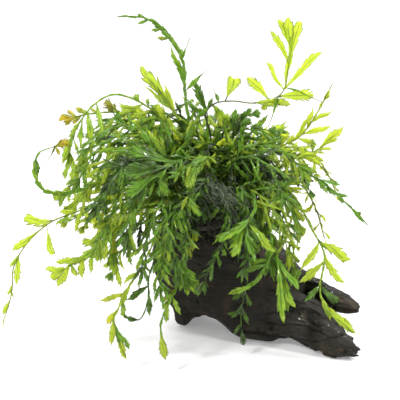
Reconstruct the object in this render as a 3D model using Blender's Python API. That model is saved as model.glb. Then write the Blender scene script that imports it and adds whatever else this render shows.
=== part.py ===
"""African water fern grown on a forked piece of dark driftwood.

The wood stands on a left foot, a middle patch and the tip of its front prong, with an arch
between the first two. Three creeping rhizomes lie on its top, and every frond grows from one
of them: a stalk that arches over, with leaflets along it in turn on its two sides.

Lengths are in millimetres, in the frame of the finished part: +X to the right as the plant is
looked at, +Y away from the viewer, +Z up, and the origin on the ground under its middle.
"""
import math
import random
from collections import namedtuple

import bpy
from mathutils import Matrix, Vector
from mathutils.bvhtree import BVHTree

MM = 0.001
GAP = 0.3                        # left between two pieces that touch
SEED = 7
CURVE_STEPS = 12                 # straight lengths that a span of a curve is first read in

# The plant is laid out from the viewer's line to its crown. This is the middle of its footprint there.
MIDDLE = Vector((0.0, 25.0, 0.0))

# The log: where its left foot stands, and the way it runs, to the right and toward the viewer
FOOT_X, FOOT_Y = -2.6, 18.9
LOG_TURN = math.radians(-27.0)
ALONG = Vector((math.cos(LOG_TURN), math.sin(LOG_TURN), 0.0))
ACROSS = Vector((-math.sin(LOG_TURN), math.cos(LOG_TURN), 0.0))
FORK = 77.0                      # from the left foot to the fork, along the log

# The rhizomes, which lie on top of the log in shallow waves
RHIZOME_R = 2.2
RHIZOME_START, RHIZOME_END = -13.0, 50.0
ROWS = {"front": 9.0, "middle": 18.5, "back": 28.0}      # how far across the log each one lies
RHIZOME_WAVE, WAVE_RATE = 1.2, 0.16
RHIZOME_TIP = 0.55               # how thick its blunt ends are, as a share
RHIZOME_SPANS, RHIZOME_SIDES = 11, 6
ROOT_SPREAD = (0.04, 0.96)       # the stretch of a rhizome that fronds grow from, as shares
ROOT_LEAN = 0.45                 # how far to the left and right of straight up they leave it in turn
ROOT_RISE = 7.0                  # where a stalk leaves straight out of its rhizome, above its middle line

# The fronds
STALK_W, STALK_TIP_W = 1.5, 0.9
STALK_DEPTH = 0.75               # how deep the three-sided stalk is, as a share of its width
ROUTE_STEP = 1.5
BARE_STEP = 13.0                 # from ring to ring where the stalk has no leaflets
LEAF_THICKNESS = 0.7
LEAFLET_ANGLE, LESS_AT_TIP = 48.0, 14.0      # degrees between a leaflet and the stalk's way to the tip
LEAFLET_BELLY = 0.46             # where a leaflet is widest, as a share of its length
FEWEST_LEAFLETS, MOST_LEAFLETS = 5, 9
SHORTEST_LEAFLET = 0.62          # those at a blade's two ends, as a share of the longest
END_LEAFLET = 0.55               # the one at the tip, as a share of the longest
OFF_GROUND = 1.2                 # how far the lowest leaflet stays above the ground
FACE_PULL = 0.15                 # how fast a blade turns to where it faces, at each step of its route
VIEWER = Vector((0.0, -0.966, 0.259))
LEFT_VIEW = Vector((-0.35, -0.85, 0.40))
RIGHT_VIEW = Vector((0.35, -0.85, 0.40))


def material(name, colour, roughness):
    made = bpy.data.materials.new(name)
    made.use_nodes = True
    shader = made.node_tree.nodes["Principled BSDF"]
    shader.inputs["Base Color"].default_value = (*colour, 1.0)
    shader.inputs["Roughness"].default_value = roughness
    return made


def add_object(name, points, faces, colour, roughness):
    mesh = bpy.data.meshes.new(name)
    mesh.from_pydata([tuple((p - MIDDLE) * MM) for p in points], [], faces)
    mesh.materials.append(material(name, colour, roughness))
    made = bpy.data.objects.new(name, mesh)
    bpy.context.collection.objects.link(made)
    return made


def smooth_route(points, step):
    """Points about `step` apart on a smooth curve through the given ones, ends included. The curve is
    a centripetal one, so it makes no loop where a short span meets a long one."""
    ends = [points[0] * 2 - points[1]] + list(points) + [points[-1] * 2 - points[-2]]
    fine = []
    for a, b, c, d in zip(ends, ends[1:], ends[2:], ends[3:]):
        before, span, after = (math.sqrt((q - p).length) for p, q in ((a, b), (b, c), (c, d)))
        leave = c - b + ((b - a) / before - (c - a) / (before + span)) * span
        reach = c - b + ((d - c) / after - (d - b) / (span + after)) * span
        for i in range(CURVE_STEPS):
            t = i / CURVE_STEPS
            fine.append(b + leave * t + ((c - b) * 3 - leave * 2 - reach) * t ** 2
                        + (leave + reach - (c - b) * 2) * t ** 3)
    fine.append(points[-1].copy())
    run = [0.0]
    for a, b in zip(fine, fine[1:]):
        run.append(run[-1] + (b - a).length)
    count = max(2, round(run[-1] / step))
    even, j = [], 0
    for i in range(count + 1):
        want = run[-1] * i / count
        while j < len(fine) - 2 and run[j + 1] < want:
            j += 1
        even.append(fine[j].lerp(fine[j + 1], min(1.0, (want - run[j]) / (run[j + 1] - run[j]))))
    return even


# The driftwood

Ring = namedtuple("Ring", "along low high front back lean")
WOOD_COLOUR = (0.035, 0.030, 0.026)
FOOT_SINK = 2.0                  # how much of a foot's round underside is cut off flat
SQUARE = 0.66                    # 1 is an ellipse, less is squarer
LIP = 3.5                        # how far the front face's lower edge stands out

TRUNK = [
    Ring(-28.5, 40, 54, 9, 27, 0.0),
    Ring(-23, 27, 63, 2.5, 37, 0.0),
    Ring(-14, 15.5, 69, 0, 43, 2.0),
    Ring(-7, 9, 73, 0, 45, 4.0),
    Ring(-5, -FOOT_SINK, 74, 0, 46, 5.0),
    Ring(2.5, -FOOT_SINK, 76, 0, 47, 6.0),
    Ring(7.5, 4.8, 77, 0, 47, 7.0),
    Ring(17, 7.2, 78, 0, 48, 8.0),
    Ring(27, 5.8, 76, -1, 48, 8.0),
    Ring(35, 2.2, 72, -2, 47, 8.0),
    Ring(44, -FOOT_SINK, 66, -2, 46, 7.0),
    Ring(54, -FOOT_SINK, 59, -3, 45, 6.0),
    Ring(65, -FOOT_SINK, 51, -3, 44, 5.0),
    Ring(71, 2.5, 46, -3, 43, 4.0),
    Ring(FORK, 4.0, 43, -3, 43, 4.0),
]
FRONT_PRONG = [
    Ring(FORK + GAP, 5, 33, -2.5, 25, 2.0),
    Ring(88, 3, 31, -3, 23.5, 2.0),
    Ring(98, 1, 28, -4, 21, 2.0),
    Ring(105, -FOOT_SINK, 22, -5, 18, 1.5),
    Ring(114, -FOOT_SINK, 16.5, -5, 16, 1.5),
    Ring(119, 1.2, 13, -4, 12, 1.0),
    Ring(123, 1.6, 11, -3.5, 6, 0.5),
    Ring(128.5, 3.0, 7.5, -3, 1, 0.0),
]
BACK_PRONG = [
    Ring(FORK + GAP, 20, 40, 29.8, 41, 0.5),
    Ring(86, 20, 38, 28.5, 41, 0.5),
    Ring(94, 19, 34.5, 25, 40, 0.5),
    Ring(103, 18.5, 31, 24, 39, 0.5),
    Ring(110, 19.2, 28, 24, 37, 0.0),
    Ring(116, 21, 25.5, 25, 34, 0.0),
    Ring(119, 22, 24.5, 27, 31, 0.0),
]


def ring_points(ring, sides):
    """One closed outline across the wood: a squared ellipse that leans back, with long ridges."""
    mid_t, half_t = (ring.front + ring.back) / 2, (ring.back - ring.front) / 2
    mid_z, half_z = (ring.low + ring.high) / 2, (ring.high - ring.low) / 2
    points = []
    for i in range(sides):
        a = 2 * math.pi * (i + 0.5) / sides
        ridge = (1 + 0.035 * math.sin(5 * a + 0.050 * ring.along) + 0.028 * math.sin(9 * a + 1.3)
                 + 0.030 * math.sin(2 * a + 0.13 * ring.along))
        c, s = math.cos(a), math.sin(a)
        t = math.copysign(abs(c) ** SQUARE, c) * half_t * ridge
        z = math.copysign(abs(s) ** SQUARE, s) * half_z * ridge
        t -= LIP * math.exp(-((math.degrees(a) - 218) / 16) ** 2) * min(1.0, half_t / 15)
        across = mid_t + t + ring.lean * z / half_z
        height = max(0.0, mid_z + z)
        points.append(log_place(ring.along, across, height))
    return points


def log_place(along, across, height):
    return Vector((FOOT_X, FOOT_Y, 0.0)) + ALONG * along + ACROSS * across + Vector((0, 0, height))


def loft(rings):
    """A closed skin over the outlines: triangle pairs along it, and a flat lid at each end."""
    n = len(rings[0])
    points = [p for ring in rings for p in ring]
    faces = []
    for r in range(len(rings) - 1):
        for i in range(n):
            j = (i + 1) % n
            a, b, c, d = r * n + i, r * n + j, (r + 1) * n + j, (r + 1) * n + i
            faces += [(a, b, c), (a, c, d)]
    faces.append(tuple(reversed(range(n))))
    faces.append(tuple(range(len(points) - n, len(points))))
    return points, faces


def driftwood():
    """The trunk and its two prongs: the skin of each, as points and faces."""
    skins = []
    for name, rings, sides in (("driftwood_trunk", TRUNK, 24), ("driftwood_front_prong", FRONT_PRONG, 14),
                               ("driftwood_back_prong", BACK_PRONG, 12)):
        skins.append(loft([ring_points(ring, sides) for ring in rings]))
        add_object(name, *skins[-1], WOOD_COLOUR, 0.5)
    return skins


# The rhizomes

RHIZOME_COLOUR = (0.05, 0.06, 0.025)
TOP_OF_ALL = 200.0


def lie_on(trunk, along, across):
    """The middle of a rhizome that lies on the trunk at this place."""
    start = log_place(along, across, TOP_OF_ALL)
    middle = trunk.ray_cast(start, Vector((0, 0, -1)))[0] + Vector((0, 0, RHIZOME_R))
    while trunk.find_nearest(middle)[3] < RHIZOME_R + 2.5 * GAP:
        middle.z += 0.1
    return middle


def rhizomes(trunk):
    """The three rhizomes: for each row its middle points, and its skin as points and faces."""
    rows = {}
    for row, across in ROWS.items():
        places = []
        for i in range(RHIZOME_SPANS + 1):
            along = RHIZOME_START + (RHIZOME_END - RHIZOME_START) * i / RHIZOME_SPANS
            places.append(lie_on(trunk, along, across + RHIZOME_WAVE * math.sin(WAVE_RATE * along + across)))
        rings = []
        for i, middle in enumerate(places):
            way = (places[min(i + 1, RHIZOME_SPANS)] - places[max(i - 1, 0)]).normalized()
            side = way.cross(Vector((0, 0, 1))).normalized()
            up = side.cross(way)
            radius = RHIZOME_R * (RHIZOME_TIP if i in (0, RHIZOME_SPANS) else 1.0)
            rings.append([middle + (side * math.cos(a) - up * math.sin(a)) * radius
                          for a in (2 * math.pi * k / RHIZOME_SIDES for k in range(RHIZOME_SIDES))])
        skin = loft(rings)
        add_object("rhizome_" + row, *skin, RHIZOME_COLOUR, 0.6)
        rows[row] = (places, skin)
    return rows


# The fronds, from left to right along the rhizome they grow from. A route leads from the first
# bend of the stalk to the last leaflet's tip. `facing` is where the blade's upper side looks; where
# it is left out the blade arches out from the plant and looks up. `bare` is the share of the stalk
# with no leaflets, and `leaflet` their greatest length and width.

Frond = namedtuple("Frond", "name row route facing bare leaflet pitch")


def frond(name, row, route, leaflet, pitch, facing=None, bare=0.38):
    return Frond("frond_" + name, row, [Vector(p) for p in route], facing, bare, leaflet, pitch)


FRONT_FRONDS = [
    frond("left_low", "front", [(-11, -2, 119), (-34, -18, 113), (-60, -28, 99), (-84, -34, 90), (-99, -34, 76),
          (-108, -32, 60), (-110, -30, 44), (-114, -28, 30), (-119, -26, 18)], (17, 5.0), 11.0, LEFT_VIEW, 0.30),
    frond("left_facing", "front", [(-6, -8, 110), (-31, -34, 97), (-46, -44, 84), (-57, -50, 76), (-70, -52, 68),
          (-78, -54, 63)], (15, 5.5), 7.5, VIEWER, 0.36),
    frond("front_left_hanging", "front", [(-3, -12, 99), (-18, -38, 80), (-27, -50, 65), (-34, -55, 55),
          (-40, -58, 43), (-43, -60, 36), (-41, -60, 23), (-35, -60, 9)], (14, 4.5), 9.0, VIEWER, 0.38),
    frond("front_left_curled", "front", [(-1, -12, 96), (-15, -36, 74), (-22, -45, 58), (-22, -49, 47),
          (-24, -50, 39), (-28, -50, 32), (-36, -50, 33)], (12, 4.0), 9.0, VIEWER, 0.45),
    frond("over_the_foot", "front", [(7, -10, 90), (0, -34, 66), (-5, -46, 51), (-10, -54, 43), (-14, -59, 34),
          (-14, -61, 26), (-11, -61, 18), (-12, -61, 8)], (10, 4.5), 8.0, VIEWER, 0.45),
    frond("front_bright", "front", [(2, -8, 98), (-13, -30, 86), (-12, -42, 75), (-5, -47, 66), (3, -46, 56),
          (12, -42, 49)], (14, 6.0), 7.0, VIEWER, 0.45),
    frond("front_dark_hanging", "front", [(26, -8, 90), (37, -24, 71), (40, -30, 54), (38, -32, 42), (36, -33, 29),
          (37, -33, 7)], (11, 4.5), 8.0, VIEWER, 0.40),
    frond("front_middle", "front", [(32, -15, 106), (44, -34, 103), (40, -42, 94), (22, -48, 81)], (16, 6.0), 8.0,
          VIEWER, 0.50),
    frond("front_forked", "front", [(36, -8, 101), (47, -26, 89), (51, -36, 74), (48, -40, 61), (42, -43, 52),
          (27, -46, 48)], (18, 5.5), 10.0, VIEWER, 0.45),
    frond("front_right_bright", "front", [(41, -8, 92), (53, -26, 82), (58, -36, 68), (60, -41, 55), (62, -44, 29)],
          (22, 6.0), 10.0, VIEWER, 0.45),
    frond("right_low", "front", [(51, 1, 108), (68, -16, 104), (80, -25, 84), (88, -30, 69), (87, -34, 59),
          (85, -38, 48), (89, -42, 36), (108, -46, 20)], (19, 5.5), 10.0, RIGHT_VIEW, 0.38),
]
MIDDLE_FRONDS = [
    frond("left_curl", "middle", [(-8, 6, 116), (-32, -6, 118), (-51, -12, 108), (-68, -16, 103), (-80, -18, 103),
          (-89, -20, 107), (-94, -20, 119), (-91, -20, 131), (-79, -20, 136)], (12, 4.0), 11.0, VIEWER, 0.36),
    frond("left_orange", "middle", [(-3, 12, 118), (-21, 8, 143), (-41, 4, 152), (-60, 2, 152), (-81, 0, 148)],
          (13, 4.5), 8.0, LEFT_VIEW, 0.38),
    frond("left_arch", "middle", [(0, 6, 121), (-22, 0, 146), (-44, -6, 157), (-56, -9, 155), (-66, -11, 148),
          (-71, -12, 138), (-76, -12, 111)], (20, 5.0), 8.5, LEFT_VIEW, 0.36),
    frond("top_blade", "middle", [(3, 14, 119), (-2, 8, 142), (-9, 4, 156), (-27, -2, 181)], (13, 6.0), 8.0,
          VIEWER, 0.52),
    frond("top_arch", "middle", [(8, 12, 117), (3, 6, 144), (0, 2, 168), (0, 0, 181), (-5, -3, 195),
          (-15, -6, 208), (-25, -9, 214), (-42, -11, 215)], (11, 3.5), 8.5, VIEWER, 0.42),
    frond("top_left_short", "middle", [(13, 19, 116), (14, 20, 135), (14, 17, 152), (6, 14, 171)], (12, 5.0), 8.0,
          VIEWER, 0.45),
    frond("top_right", "middle", [(18, 14, 119), (16, 8, 139), (13, 4, 152), (19, 0, 159), (30, -2, 161),
          (43, -4, 160), (54, -5, 162), (62, -6, 168), (65, -6, 183), (68, -7, 211)], (19, 5.5), 11.0, VIEWER, 0.40),
    frond("top_dark", "middle", [(25, 6, 122), (31, 0, 138), (35, -3, 149), (42, -4, 158)], (14, 6.0), 8.0,
          VIEWER, 0.45),
    frond("top_slim", "middle", [(31, 10, 120), (41, 4, 137), (54, 0, 153)], (12, 5.0), 8.0, VIEWER, 0.45),
    frond("top_right_small", "middle", [(37, 14, 118), (51, 11, 134), (67, 8, 147)], (13, 5.0), 8.0, VIEWER, 0.45),
    frond("right_high", "middle", [(42, 16, 119), (63, 14, 128), (75, 13, 135), (84, 12, 148), (95, 9, 171)],
          (16, 4.5), 8.5, VIEWER, 0.38),
    frond("right_level", "middle", [(47, 6, 117), (67, -4, 123), (83, -8, 130), (101, -10, 147)], (14, 5.0), 8.0,
          RIGHT_VIEW, 0.42),
    frond("right_slim", "middle", [(51, 0, 110), (70, -8, 116), (85, -12, 112), (98, -15, 102), (119, -17, 82)],
          (11, 4.0), 9.0, RIGHT_VIEW, 0.50),
]

# The rest fills the plant: each arches out at an angle round the crown (0 to the right, 90 away from
# the viewer), to a reach, after a rise above the rhizome and then a fall.
Filler = namedtuple("Filler", "name row angle reach rise fall")
CROWN_X, LEAD = 18.0, 0.6        # the crown's middle, and the share of its reach that a filler leads by
FILLERS = [
    Filler("crown_front_left", "front", 212, 48, 58, 34),
    Filler("crown_front", "front", 262, 42, 62, 40),
    Filler("crown_front_right", "front", 310, 44, 56, 34),
    Filler("crown_left", "middle", 186, 62, 66, 34),
    Filler("crown_right", "front", 330, 50, 60, 26),
    Filler("left_inner", "middle", 196, 70, 50, 26),
    Filler("left_outer", "back", 172, 80, 60, 36),
    Filler("back_left_low", "back", 150, 82, 40, 74),
    Filler("back_left", "back", 138, 72, 58, 34),
    Filler("back_left_top", "back", 124, 46, 68, 12),
    Filler("back_low", "back", 112, 76, 36, 80),
    Filler("back", "back", 100, 74, 58, 46),
    Filler("back_top", "back", 90, 44, 58, 16),
    Filler("back_right_low", "back", 78, 78, 38, 72),
    Filler("back_right", "back", 62, 72, 52, 36),
    Filler("back_right_top", "back", 50, 50, 52, 12),
    Filler("right_outer", "back", 34, 66, 50, 38),
    Filler("right_inner", "back", 16, 54, 54, 28),
    Filler("right_behind", "back", 10, 50, 34, 52),
]
YOUNG = [
    Filler("young_front_left", "front", 228, 38, 30, 20),
    Filler("young_front", "front", 250, 34, 34, 16),
    Filler("young_front_middle", "front", 275, 36, 28, 22),
    Filler("young_front_right", "front", 296, 34, 36, 18),
    Filler("young_left", "middle", 200, 44, 36, 26),
    Filler("young_right", "middle", 336, 42, 34, 24),
    Filler("young_back_left", "back", 130, 40, 34, 26),
    Filler("young_back_right", "back", 70, 40, 34, 26),
]
YOUNG_LEAFLET, YOUNG_PITCH = (13.0, 5.5), 10.5
FILLER_LEAFLET, FILLER_PITCH = (15.0, 5.2), 9.5
FILLER_BARE = 0.32
# The points of a filler's arch, each as shares of its reach, its rise and its fall
FILLER_ARCH = ((0.20, 0.72, 0.0), (0.52, 1.0, 0.08), (0.82, 1.0, 0.48), (1.0, 1.0, 1.0))
LEAF_COLOUR = (0.10, 0.24, 0.03)
# How a stalk gives way to another: degrees about its root, and how far its middle is raised and moved aside
SWAYS = [(turn, lift, aside) for turn in (0, 2, -2, 4, -4, 7, -7, 10, -10) for lift in (0, 3, -3, 6, 10)
         for aside in (0, 2.5, -2.5, 5, -5)]
BOW_END = 1 / 1.3                # the share of its route that a stalk gives way over
# What a leaflet tries where it has no room: a further turn and tilt in radians, and a share of its length
LEAFLET_TRIES = ((0, 0, 1), (0, 0.30, 1), (0, -0.30, 1), (0.25, 0.15, 0.95), (-0.30, 0, 0.95), (0, 0.6, 0.9),
                 (0, -0.6, 0.9), (0.2, 0.3, 0.7), (-0.2, -0.3, 0.7), (0, 0, 0.6), (0.3, 0.8, 0.6))
PROBE_NEAR, PROBE_OWN = 1.2, 0.35            # how far toward its foot a leaflet is tested, others and own


def filler_route(filler, root):
    away = Vector((math.cos(math.radians(filler.angle)), math.sin(math.radians(filler.angle)), 0))
    return [root + away * filler.reach * out + Vector((0, 0, filler.rise * up - filler.fall * down))
            for out, up, down in FILLER_ARCH]


def seats(places, fronds):
    """Where each frond of a row stands: spread along its rhizome, on its left and right in turn."""
    spread = smooth_route(places, 0.5)
    count, last = len(fronds), len(spread) - 1
    start, end = ROOT_SPREAD
    for k, grown in enumerate(fronds):
        i = round((start + (end - start) * (k + 0.5) / count) * last)
        way = (spread[min(i + 1, last)] - spread[max(i - 1, 0)]).normalized()
        side = way.cross(Vector((0, 0, 1))).normalized()
        lean = ROOT_LEAN if (count - k) % 2 == 0 else -ROOT_LEAN
        out = (side * lean + side.cross(way)).normalized()
        yield grown, spread[i] + out * (RHIZOME_R + 2 * GAP), spread[i] + out * (RHIZOME_R + ROOT_RISE)


def swayed(line, degrees, lift, aside):
    """The route turned about its root, with its middle raised and moved to one side."""
    root, out = line[0], line[-1] - line[0]
    level = Vector((-out.y, out.x, 0.0)).normalized()
    turn = Matrix.Rotation(math.radians(degrees), 3, "Z")
    moved = []
    for k, p in enumerate(line):
        bow = math.sin(math.pi * min(1.0, k / (len(line) - 1) / BOW_END))
        moved.append(root + turn @ (p - root) + (Vector((0, 0, lift)) + level * aside) * bow)
    return moved


def stalk_routes(rows, solids):
    """Every frond with the middle line of its stalk. One that would run through another stalk, the
    wood or a rhizome is turned and raised a little."""
    by_row = {row: [] for row in ROWS}
    for planned in FRONT_FRONDS + MIDDLE_FRONDS + FILLERS + YOUNG:
        by_row[planned.row].append(planned)
    blades = []
    for row, (places, _) in rows.items():
        for grown, root, above in seats(places, sorted(by_row[row], key=aim)):
            if isinstance(grown, Filler):
                route = filler_route(grown, root)
                leaflet, pitch = (YOUNG_LEAFLET, YOUNG_PITCH) if grown in YOUNG else (FILLER_LEAFLET, FILLER_PITCH)
                grown = Frond("frond_" + grown.name, row, route, None, FILLER_BARE, leaflet, pitch)
            for sway in SWAYS:
                blade = Blade(grown, smooth_route(swayed([root, above] + grown.route, *sway), ROUTE_STEP))
                stalk = tree(*blade.stalk(GAP))
                if not any(stalk.overlap(other) for other in solids + [b.room for b in blades]):
                    break
            else:
                raise ValueError("no room for " + grown.name)
            blade.room = stalk
            blades.append(blade)
    return blades


def aim(grown):
    """How far to the right a frond leads, for the order along its rhizome."""
    if isinstance(grown, Filler):
        across = grown.reach * math.cos(math.radians(grown.angle))
        return (CROWN_X + across * LEAD, grown.name)
    return (grown.route[min(2, len(grown.route) - 1)].x, grown.name)


class Blade:
    """One frond: a three-sided stalk along its route, and the places of its leaflets."""

    def __init__(self, grown, fine):
        self.grown, self.fine = grown, fine
        length = sum((b - a).length for a, b in zip(fine, fine[1:]))
        self.count = round(2 * length * (1 - grown.bare) / grown.pitch)
        self.count = min(MOST_LEAFLETS, max(FEWEST_LEAFLETS, self.count))
        self.bare_spans = max(3, round(length * grown.bare / BARE_STEP))
        self.last = 1.0 - END_LEAFLET * grown.leaflet[0] / length
        self.shares = [grown.bare * i / self.bare_spans for i in range(self.bare_spans)]
        self.shares += [grown.bare + (self.last - grown.bare) * i / self.count for i in range(self.count + 1)]
        end = len(fine) - 1
        self.ways = [(fine[min(i + 1, end)] - fine[max(i - 1, 0)]).normalized() for i in range(end + 1)]
        self.sides = self.leftward()

    def leftward(self):
        """The blade's left at each point of its line. It is worked out from the blade's middle to both
        ends: kept from point to point, and in the leafy part drawn to where the blade faces."""
        end = len(self.fine) - 1
        out = self.fine[-1] - self.fine[0]
        level = Vector((-out.y, out.x, 0.0)).normalized()
        middle = round(end * (1 + self.grown.bare) / 2)
        sides = [None] * (end + 1)
        for order in (range(middle, end + 1), range(middle, -1, -1)):
            side = Vector()
            for i in order:
                wanted = level if self.grown.facing is None else self.grown.facing.cross(self.ways[i])
                if i == middle or i > self.grown.bare * end:
                    side = side + wanted * FACE_PULL
                side = (side - self.ways[i] * side.dot(self.ways[i])).normalized()
                sides[i] = side
        return sides

    def frame(self, share):
        at = share * (len(self.fine) - 1)
        i = min(int(at), len(self.fine) - 2)
        place, way, side = (row[i].lerp(row[i + 1], at - i) for row in (self.fine, self.ways, self.sides))
        way.normalize()
        side = (side - way * side.dot(way)).normalized()
        return place, way, side, way.cross(side)

    def stalk(self, swell=0.0):
        """The stalk with its last leaflet. Faces come in threes, the top, the left and the right wall
        of each length. Then come the ends."""
        points, faces = [], []
        for share in self.shares:
            place, way, side, up = self.frame(share)
            half = (STALK_W + (STALK_TIP_W - STALK_W) * share) / 2 + swell
            points += [place + side * half + up * swell, place - side * half + up * swell,
                       place - up * (half * 2 * STALK_DEPTH + swell)]
        for a in range(0, 3 * (len(self.shares) - 1), 3):
            left, right, keel, left2, right2, keel2 = range(a, a + 6)
            faces += [(right, right2, left2, left), (left, left2, keel2, keel), (right2, right, keel, keel2)]
        faces.append((0, 2, 1))
        width = self.grown.leaflet[1]
        place, way, side, up = self.frame(0.5 + 0.5 * self.last)
        wide, thick = side * (width / 2 + swell), up * (LEAF_THICKNESS + swell)
        points += [place + wide + up * swell, place - wide + up * swell, place - thick, self.fine[-1] + way * swell]
        first = len(points) - 4
        end = first - 3
        for k, m in ((1, 0), (0, 2), (2, 1)):
            faces += [(end + k, first + k, first + m, end + m), (first + k, first + 3, first + m)]
        return points, faces


def leaflet_shape(place, way, side, up, hand, length, width, angle, lift):
    """A leaflet's outline where it is widest, and its tip: hand is 1 on the left and -1 on the right."""
    out = side * hand * math.cos(lift) + up * math.sin(lift)
    over = (up * math.cos(lift) - side * hand * math.sin(lift)).normalized()
    run = (way * math.cos(angle) + out * math.sin(angle)).normalized()
    middle = place + run * length * LEAFLET_BELLY + over * length * 0.02
    tip = place + run * length - over * length * 0.07
    e, h = run.cross(over) * width / 2, over * LEAF_THICKNESS / 2
    return [middle - e + h, middle + e + h, middle + e - h, middle - e - h], tip


def probe(near, ring, tip):
    """A closed, slightly swollen copy of a leaflet, to test it against what is there already."""
    middle = sum(ring, Vector()) / 4
    fat = [q + (q - middle).normalized() * 1.5 * GAP for q in ring]
    points = near + fat + [tip + (tip - middle).normalized() * GAP]
    faces = [(0, 1, 5, 4), (1, 2, 6, 5), (2, 3, 7, 6), (3, 0, 4, 7), (4, 5, 8), (5, 6, 8), (6, 7, 8), (7, 4, 8),
             (0, 3, 2, 1)]
    return points, faces


def tree(points, faces):
    return BVHTree.FromPolygons(points, faces, epsilon=0.0)


def leaflet_draw(blade, leaf, draw):
    """The length, the turn from the stalk and the tilt of one leaflet."""
    share = (leaf + 0.5) / blade.count
    swell = math.sin(math.pi * min(1.0, 0.25 + share * 0.95))
    size = blade.grown.leaflet[0] * (SHORTEST_LEAFLET + (1 - SHORTEST_LEAFLET) * swell) * draw.uniform(0.9, 1.1)
    turn = math.radians(LEAFLET_ANGLE - LESS_AT_TIP * share + draw.uniform(-7, 7))
    return size, turn, math.radians(draw.uniform(-16, 8))


def grow(blade, blockers, draw):
    """The frond as points and triangles. A leaflet that would run through another piece, its own
    stalk or another leaflet is turned, shortened or left out."""
    width = blade.grown.leaflet[1]
    points, faces = blade.stalk()
    own = [tree(points, faces)]
    for leaf in range(blade.count):
        i = blade.bare_spans + leaf
        hand = 1 if leaf % 2 == 0 else -1
        wall_at = 3 * i + (1 if hand > 0 else 2)
        wall = faces[wall_at]
        place, way, side, up = blade.frame((blade.shares[i] + blade.shares[i + 1]) / 2)
        base = sum((points[k] for k in wall), Vector()) / 4
        size, turn, tilt = leaflet_draw(blade, leaf, draw)
        for more_turn, more_tilt, shrink in LEAFLET_TRIES:
            ring, tip = leaflet_shape(base, way, side, up, hand, size * shrink, width * (3 + shrink) / 4,
                                      turn + more_turn, tilt + more_tilt)
            outside = tree(*probe([base + (points[k] - base) * PROBE_NEAR for k in wall], ring, tip))
            inside = tree(*probe([base.lerp(q, PROBE_OWN) for q in ring], ring, tip))
            if min(p.z for p in ring + [tip]) < OFF_GROUND or any(outside.overlap(b) for b in blockers):
                continue
            if any(inside.overlap(b) for b in own):
                continue
            first = len(points)
            points += ring + [tip]
            faces[wall_at] = None
            for k in range(4):
                m = (k + 1) % 4
                faces += [(wall[k], wall[m], first + m, first + k), (first + k, first + m, first + 4)]
            own.append(inside)
            break
    return points, [t for f in faces if f for t in triangles(f)]


def triangles(face):
    return [face] if len(face) == 3 else [(face[0], face[1], face[2]), (face[0], face[2], face[3])]


def fern():
    wood = [tree(*skin) for skin in driftwood()]
    rows = rhizomes(wood[0])
    solids = wood + [tree(*skin) for _, skin in rows.values()]
    blades = stalk_routes(rows, solids)
    for order, blade in enumerate(blades):
        others = [b.room for b in blades[order + 1:]]
        points, faces = grow(blade, solids + others, random.Random(SEED * 1000 + order))
        solids.append(tree(points, faces))
        add_object(blade.grown.name, points, faces, LEAF_COLOUR, 0.35)


for old in list(bpy.data.objects):
    bpy.data.objects.remove(old, do_unlink=True)
fern()
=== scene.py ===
import math
import random
from collections import namedtuple

import bpy
import numpy as np
from mathutils import Matrix, Vector, noise
from mathutils.bvhtree import BVHTree


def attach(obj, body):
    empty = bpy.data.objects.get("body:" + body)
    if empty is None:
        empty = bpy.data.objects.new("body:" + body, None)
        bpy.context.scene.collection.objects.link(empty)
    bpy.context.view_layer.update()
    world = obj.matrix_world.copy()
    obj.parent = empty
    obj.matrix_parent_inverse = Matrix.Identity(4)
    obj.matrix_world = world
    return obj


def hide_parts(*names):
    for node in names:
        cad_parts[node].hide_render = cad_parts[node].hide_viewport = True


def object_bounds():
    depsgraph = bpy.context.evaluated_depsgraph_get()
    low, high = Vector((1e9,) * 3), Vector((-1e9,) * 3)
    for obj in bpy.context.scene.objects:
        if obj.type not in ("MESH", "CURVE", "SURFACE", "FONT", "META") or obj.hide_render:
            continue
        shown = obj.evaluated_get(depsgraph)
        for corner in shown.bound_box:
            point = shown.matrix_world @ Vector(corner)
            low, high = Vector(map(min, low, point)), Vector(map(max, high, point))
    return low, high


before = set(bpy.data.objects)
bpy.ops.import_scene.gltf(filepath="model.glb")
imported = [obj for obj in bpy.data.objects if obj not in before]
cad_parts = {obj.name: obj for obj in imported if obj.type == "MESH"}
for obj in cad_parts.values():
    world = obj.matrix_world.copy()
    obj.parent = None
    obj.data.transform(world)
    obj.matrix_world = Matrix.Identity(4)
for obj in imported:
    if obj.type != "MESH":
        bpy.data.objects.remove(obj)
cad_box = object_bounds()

# Camera, floor and light
# The plant is looked at from the front and a little from above. It stands on a plain white floor in
# a white studio, with a large soft light above and behind it and smaller ones at its sides.
MM = 0.001
LOOK_AT = Vector((9.75, -25.0, 95.6)) * MM
LOOK_DOWN = math.radians(15)
CAMERA_DISTANCE = 722 * MM
LENS = 100
NEAREST_SEEN = 10 * MM
WHITE = (1, 1, 1, 1)
FRONT_GLOW, BACK_GLOW = 0.11, 1.12       # how bright the studio's walls are
FLOOR_SIZE = 30.0
FLOOR_GAP = 0.1 * MM
FLOOR_GREY, FLOOR_ROUGH, FLOOR_GLOW = (0.50, 0.50, 0.50, 1), 0.7, 0.25
CEILING_POWER, CEILING_SPREAD = 4.2, math.radians(70)
CEILING_TURN = (math.radians(-26), math.radians(-4), 0)
LAMP_SIZE = 0.16
# Each lamp's place and power
LAMPS = {"left_light": ((-0.50, -0.60, 0.75), 11.5), "right_light": ((0.75, -0.30, 0.60), 8.0)}


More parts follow.
